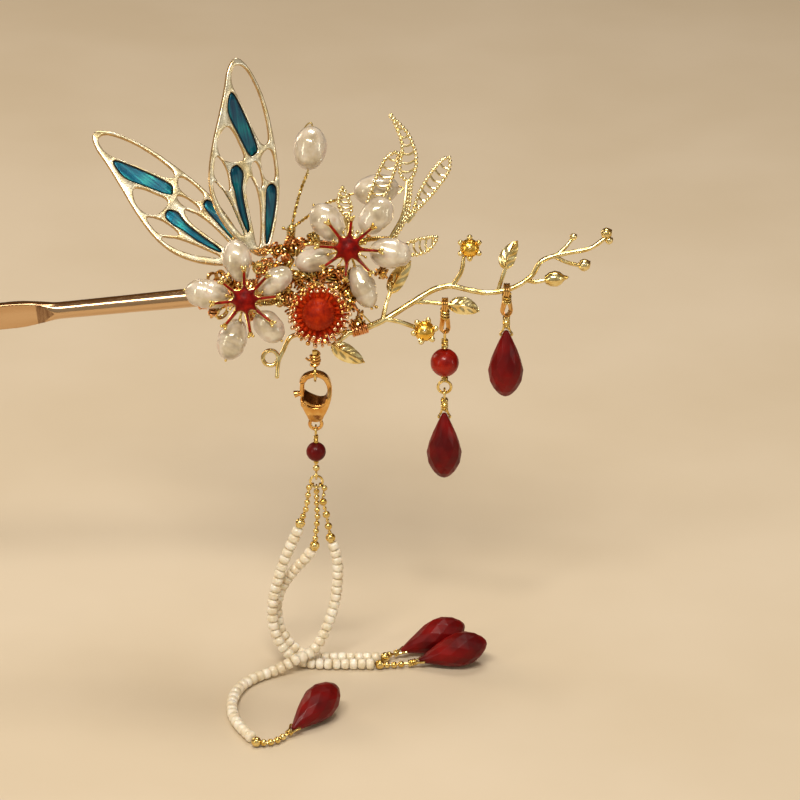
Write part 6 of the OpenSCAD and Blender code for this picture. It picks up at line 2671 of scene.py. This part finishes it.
LEAVES = (
    PiercedLeaf(
        "fork_leaf_beaded", "filigree_fork",
        (
            ((59.6, 21.4), (58.2, 22.5), (58, 24.5), (58.4, 27.5), (57.5, 30.4), (56.5, 33), (59.4, 30.4),
             (60.7, 28), (61.3, 25.6), (61.1, 23.3), (60.3, 21.8)),
            ((60.2, 15.9), (61.1, 19.5), (63, 22.9), (65.1, 25.4), (66.8, 25.8), (66.7, 23.3), (65.1, 20.8),
             (62.8, 18.1)),
        ),
        (((57.2, 21.6), (55.4, 33), (62.2, 22.8), (59.8, 33.4), 7),
         ((59.2, 17.4), (64.6, 26.6), (62.2, 15.4), (68.4, 24), 7)),
        (((59.9, 21.7), (59.6, 18.5), (59.2, 16.4), (58.5, 14.6), (57.3, 12.6), (56.8, 11.4)),
         ((59.2, 15), (60.4, 16.4))),
        0.0,
    ),
    PiercedLeaf(
        "back_leaf_beaded", "filigree_back",
        (((54.2, 16.6), (52.6, 18), (53.5, 21), (54.6, 23.7), (56.1, 26.2), (58.2, 26.8), (58, 24.5),
          (57.1, 21.8), (56.1, 19.3)),),
        (((52, 17), (56.4, 27.4), (56, 16.8), (59, 26.4), 6),),
        (((54.3, 17), (53.8, 15.2), (53.2, 13.3)),),
        1.3,
    ),
    PiercedLeaf(
        "small_leaf_beaded", "filigree_small",
        (((49.2, 15.4), (47.7, 18), (48.6, 21), (50, 18.8), (50.5, 16.8)),),
        (((47.4, 16), (47.9, 21.4), (50.9, 15.6), (50, 20.6), 5),),
        (((49.4, 15.8), (49.9, 14), (50, 12.6)),),
        0.4,
    ),
    PiercedLeaf(
        "side_leaf_beaded", "filigree_side",
        (((58.9, 11), (61, 12.2), (64.6, 12.6), (63.9, 10.6), (62.2, 9.4), (60, 9.2)),),
        (((58.4, 11.6), (65, 13), (59.6, 8.8), (64.6, 10.6), 5),),
        (((59.2, 10.7), (58.3, 11)),),
        0.0,
    ),
)


def main() -> None:
    """Builds the studio and every sub-assembly in order."""
    logging.basicConfig(level=logging.INFO, format="%(message)s")
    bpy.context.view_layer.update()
    palette = Palette()
    studio = Studio()
    studio.camera()
    studio.light_up()
    studio.grade()
    studio.floor(palette)
    groove = (-0.2, 0.02, 0.3)
    flowers = (FLOWER_LEFT, FLOWER_RIGHT)
    parts = (
        Stick(),
        # The two wings take lighter and deeper copies of one enamel: painted light and painted shade.
        Wing("wing_left", (32.7, 2.6, 8.7), 51.2, palette.blue_foil),
        Wing("wing_right", (35.3, 1, 9.3), 8.3, palette.teal_foil),
        *flowers,
        Pearl("top_pearl", "pearl_top", *PEARL_TOP, PEARL_TOP_WAY, 31, (groove,), unevenness=0.04),
        Pearl("side_pearl", "pearl_side", *PEARL_SIDE, PEARL_SIDE_WAY, 33),
        Sunburst(),
        Armature([f.hub for f in flowers], [f.petals for f in flowers], PEARL_TOP, PEARL_SIDE),
        *LEAVES,
        Twig(),
        HangingDrops(),
        LobsterClasp(),
        Tassel(),
    )
    for part in parts:
        part.build(palette)
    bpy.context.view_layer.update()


if __name__ == "__main__":
    main()
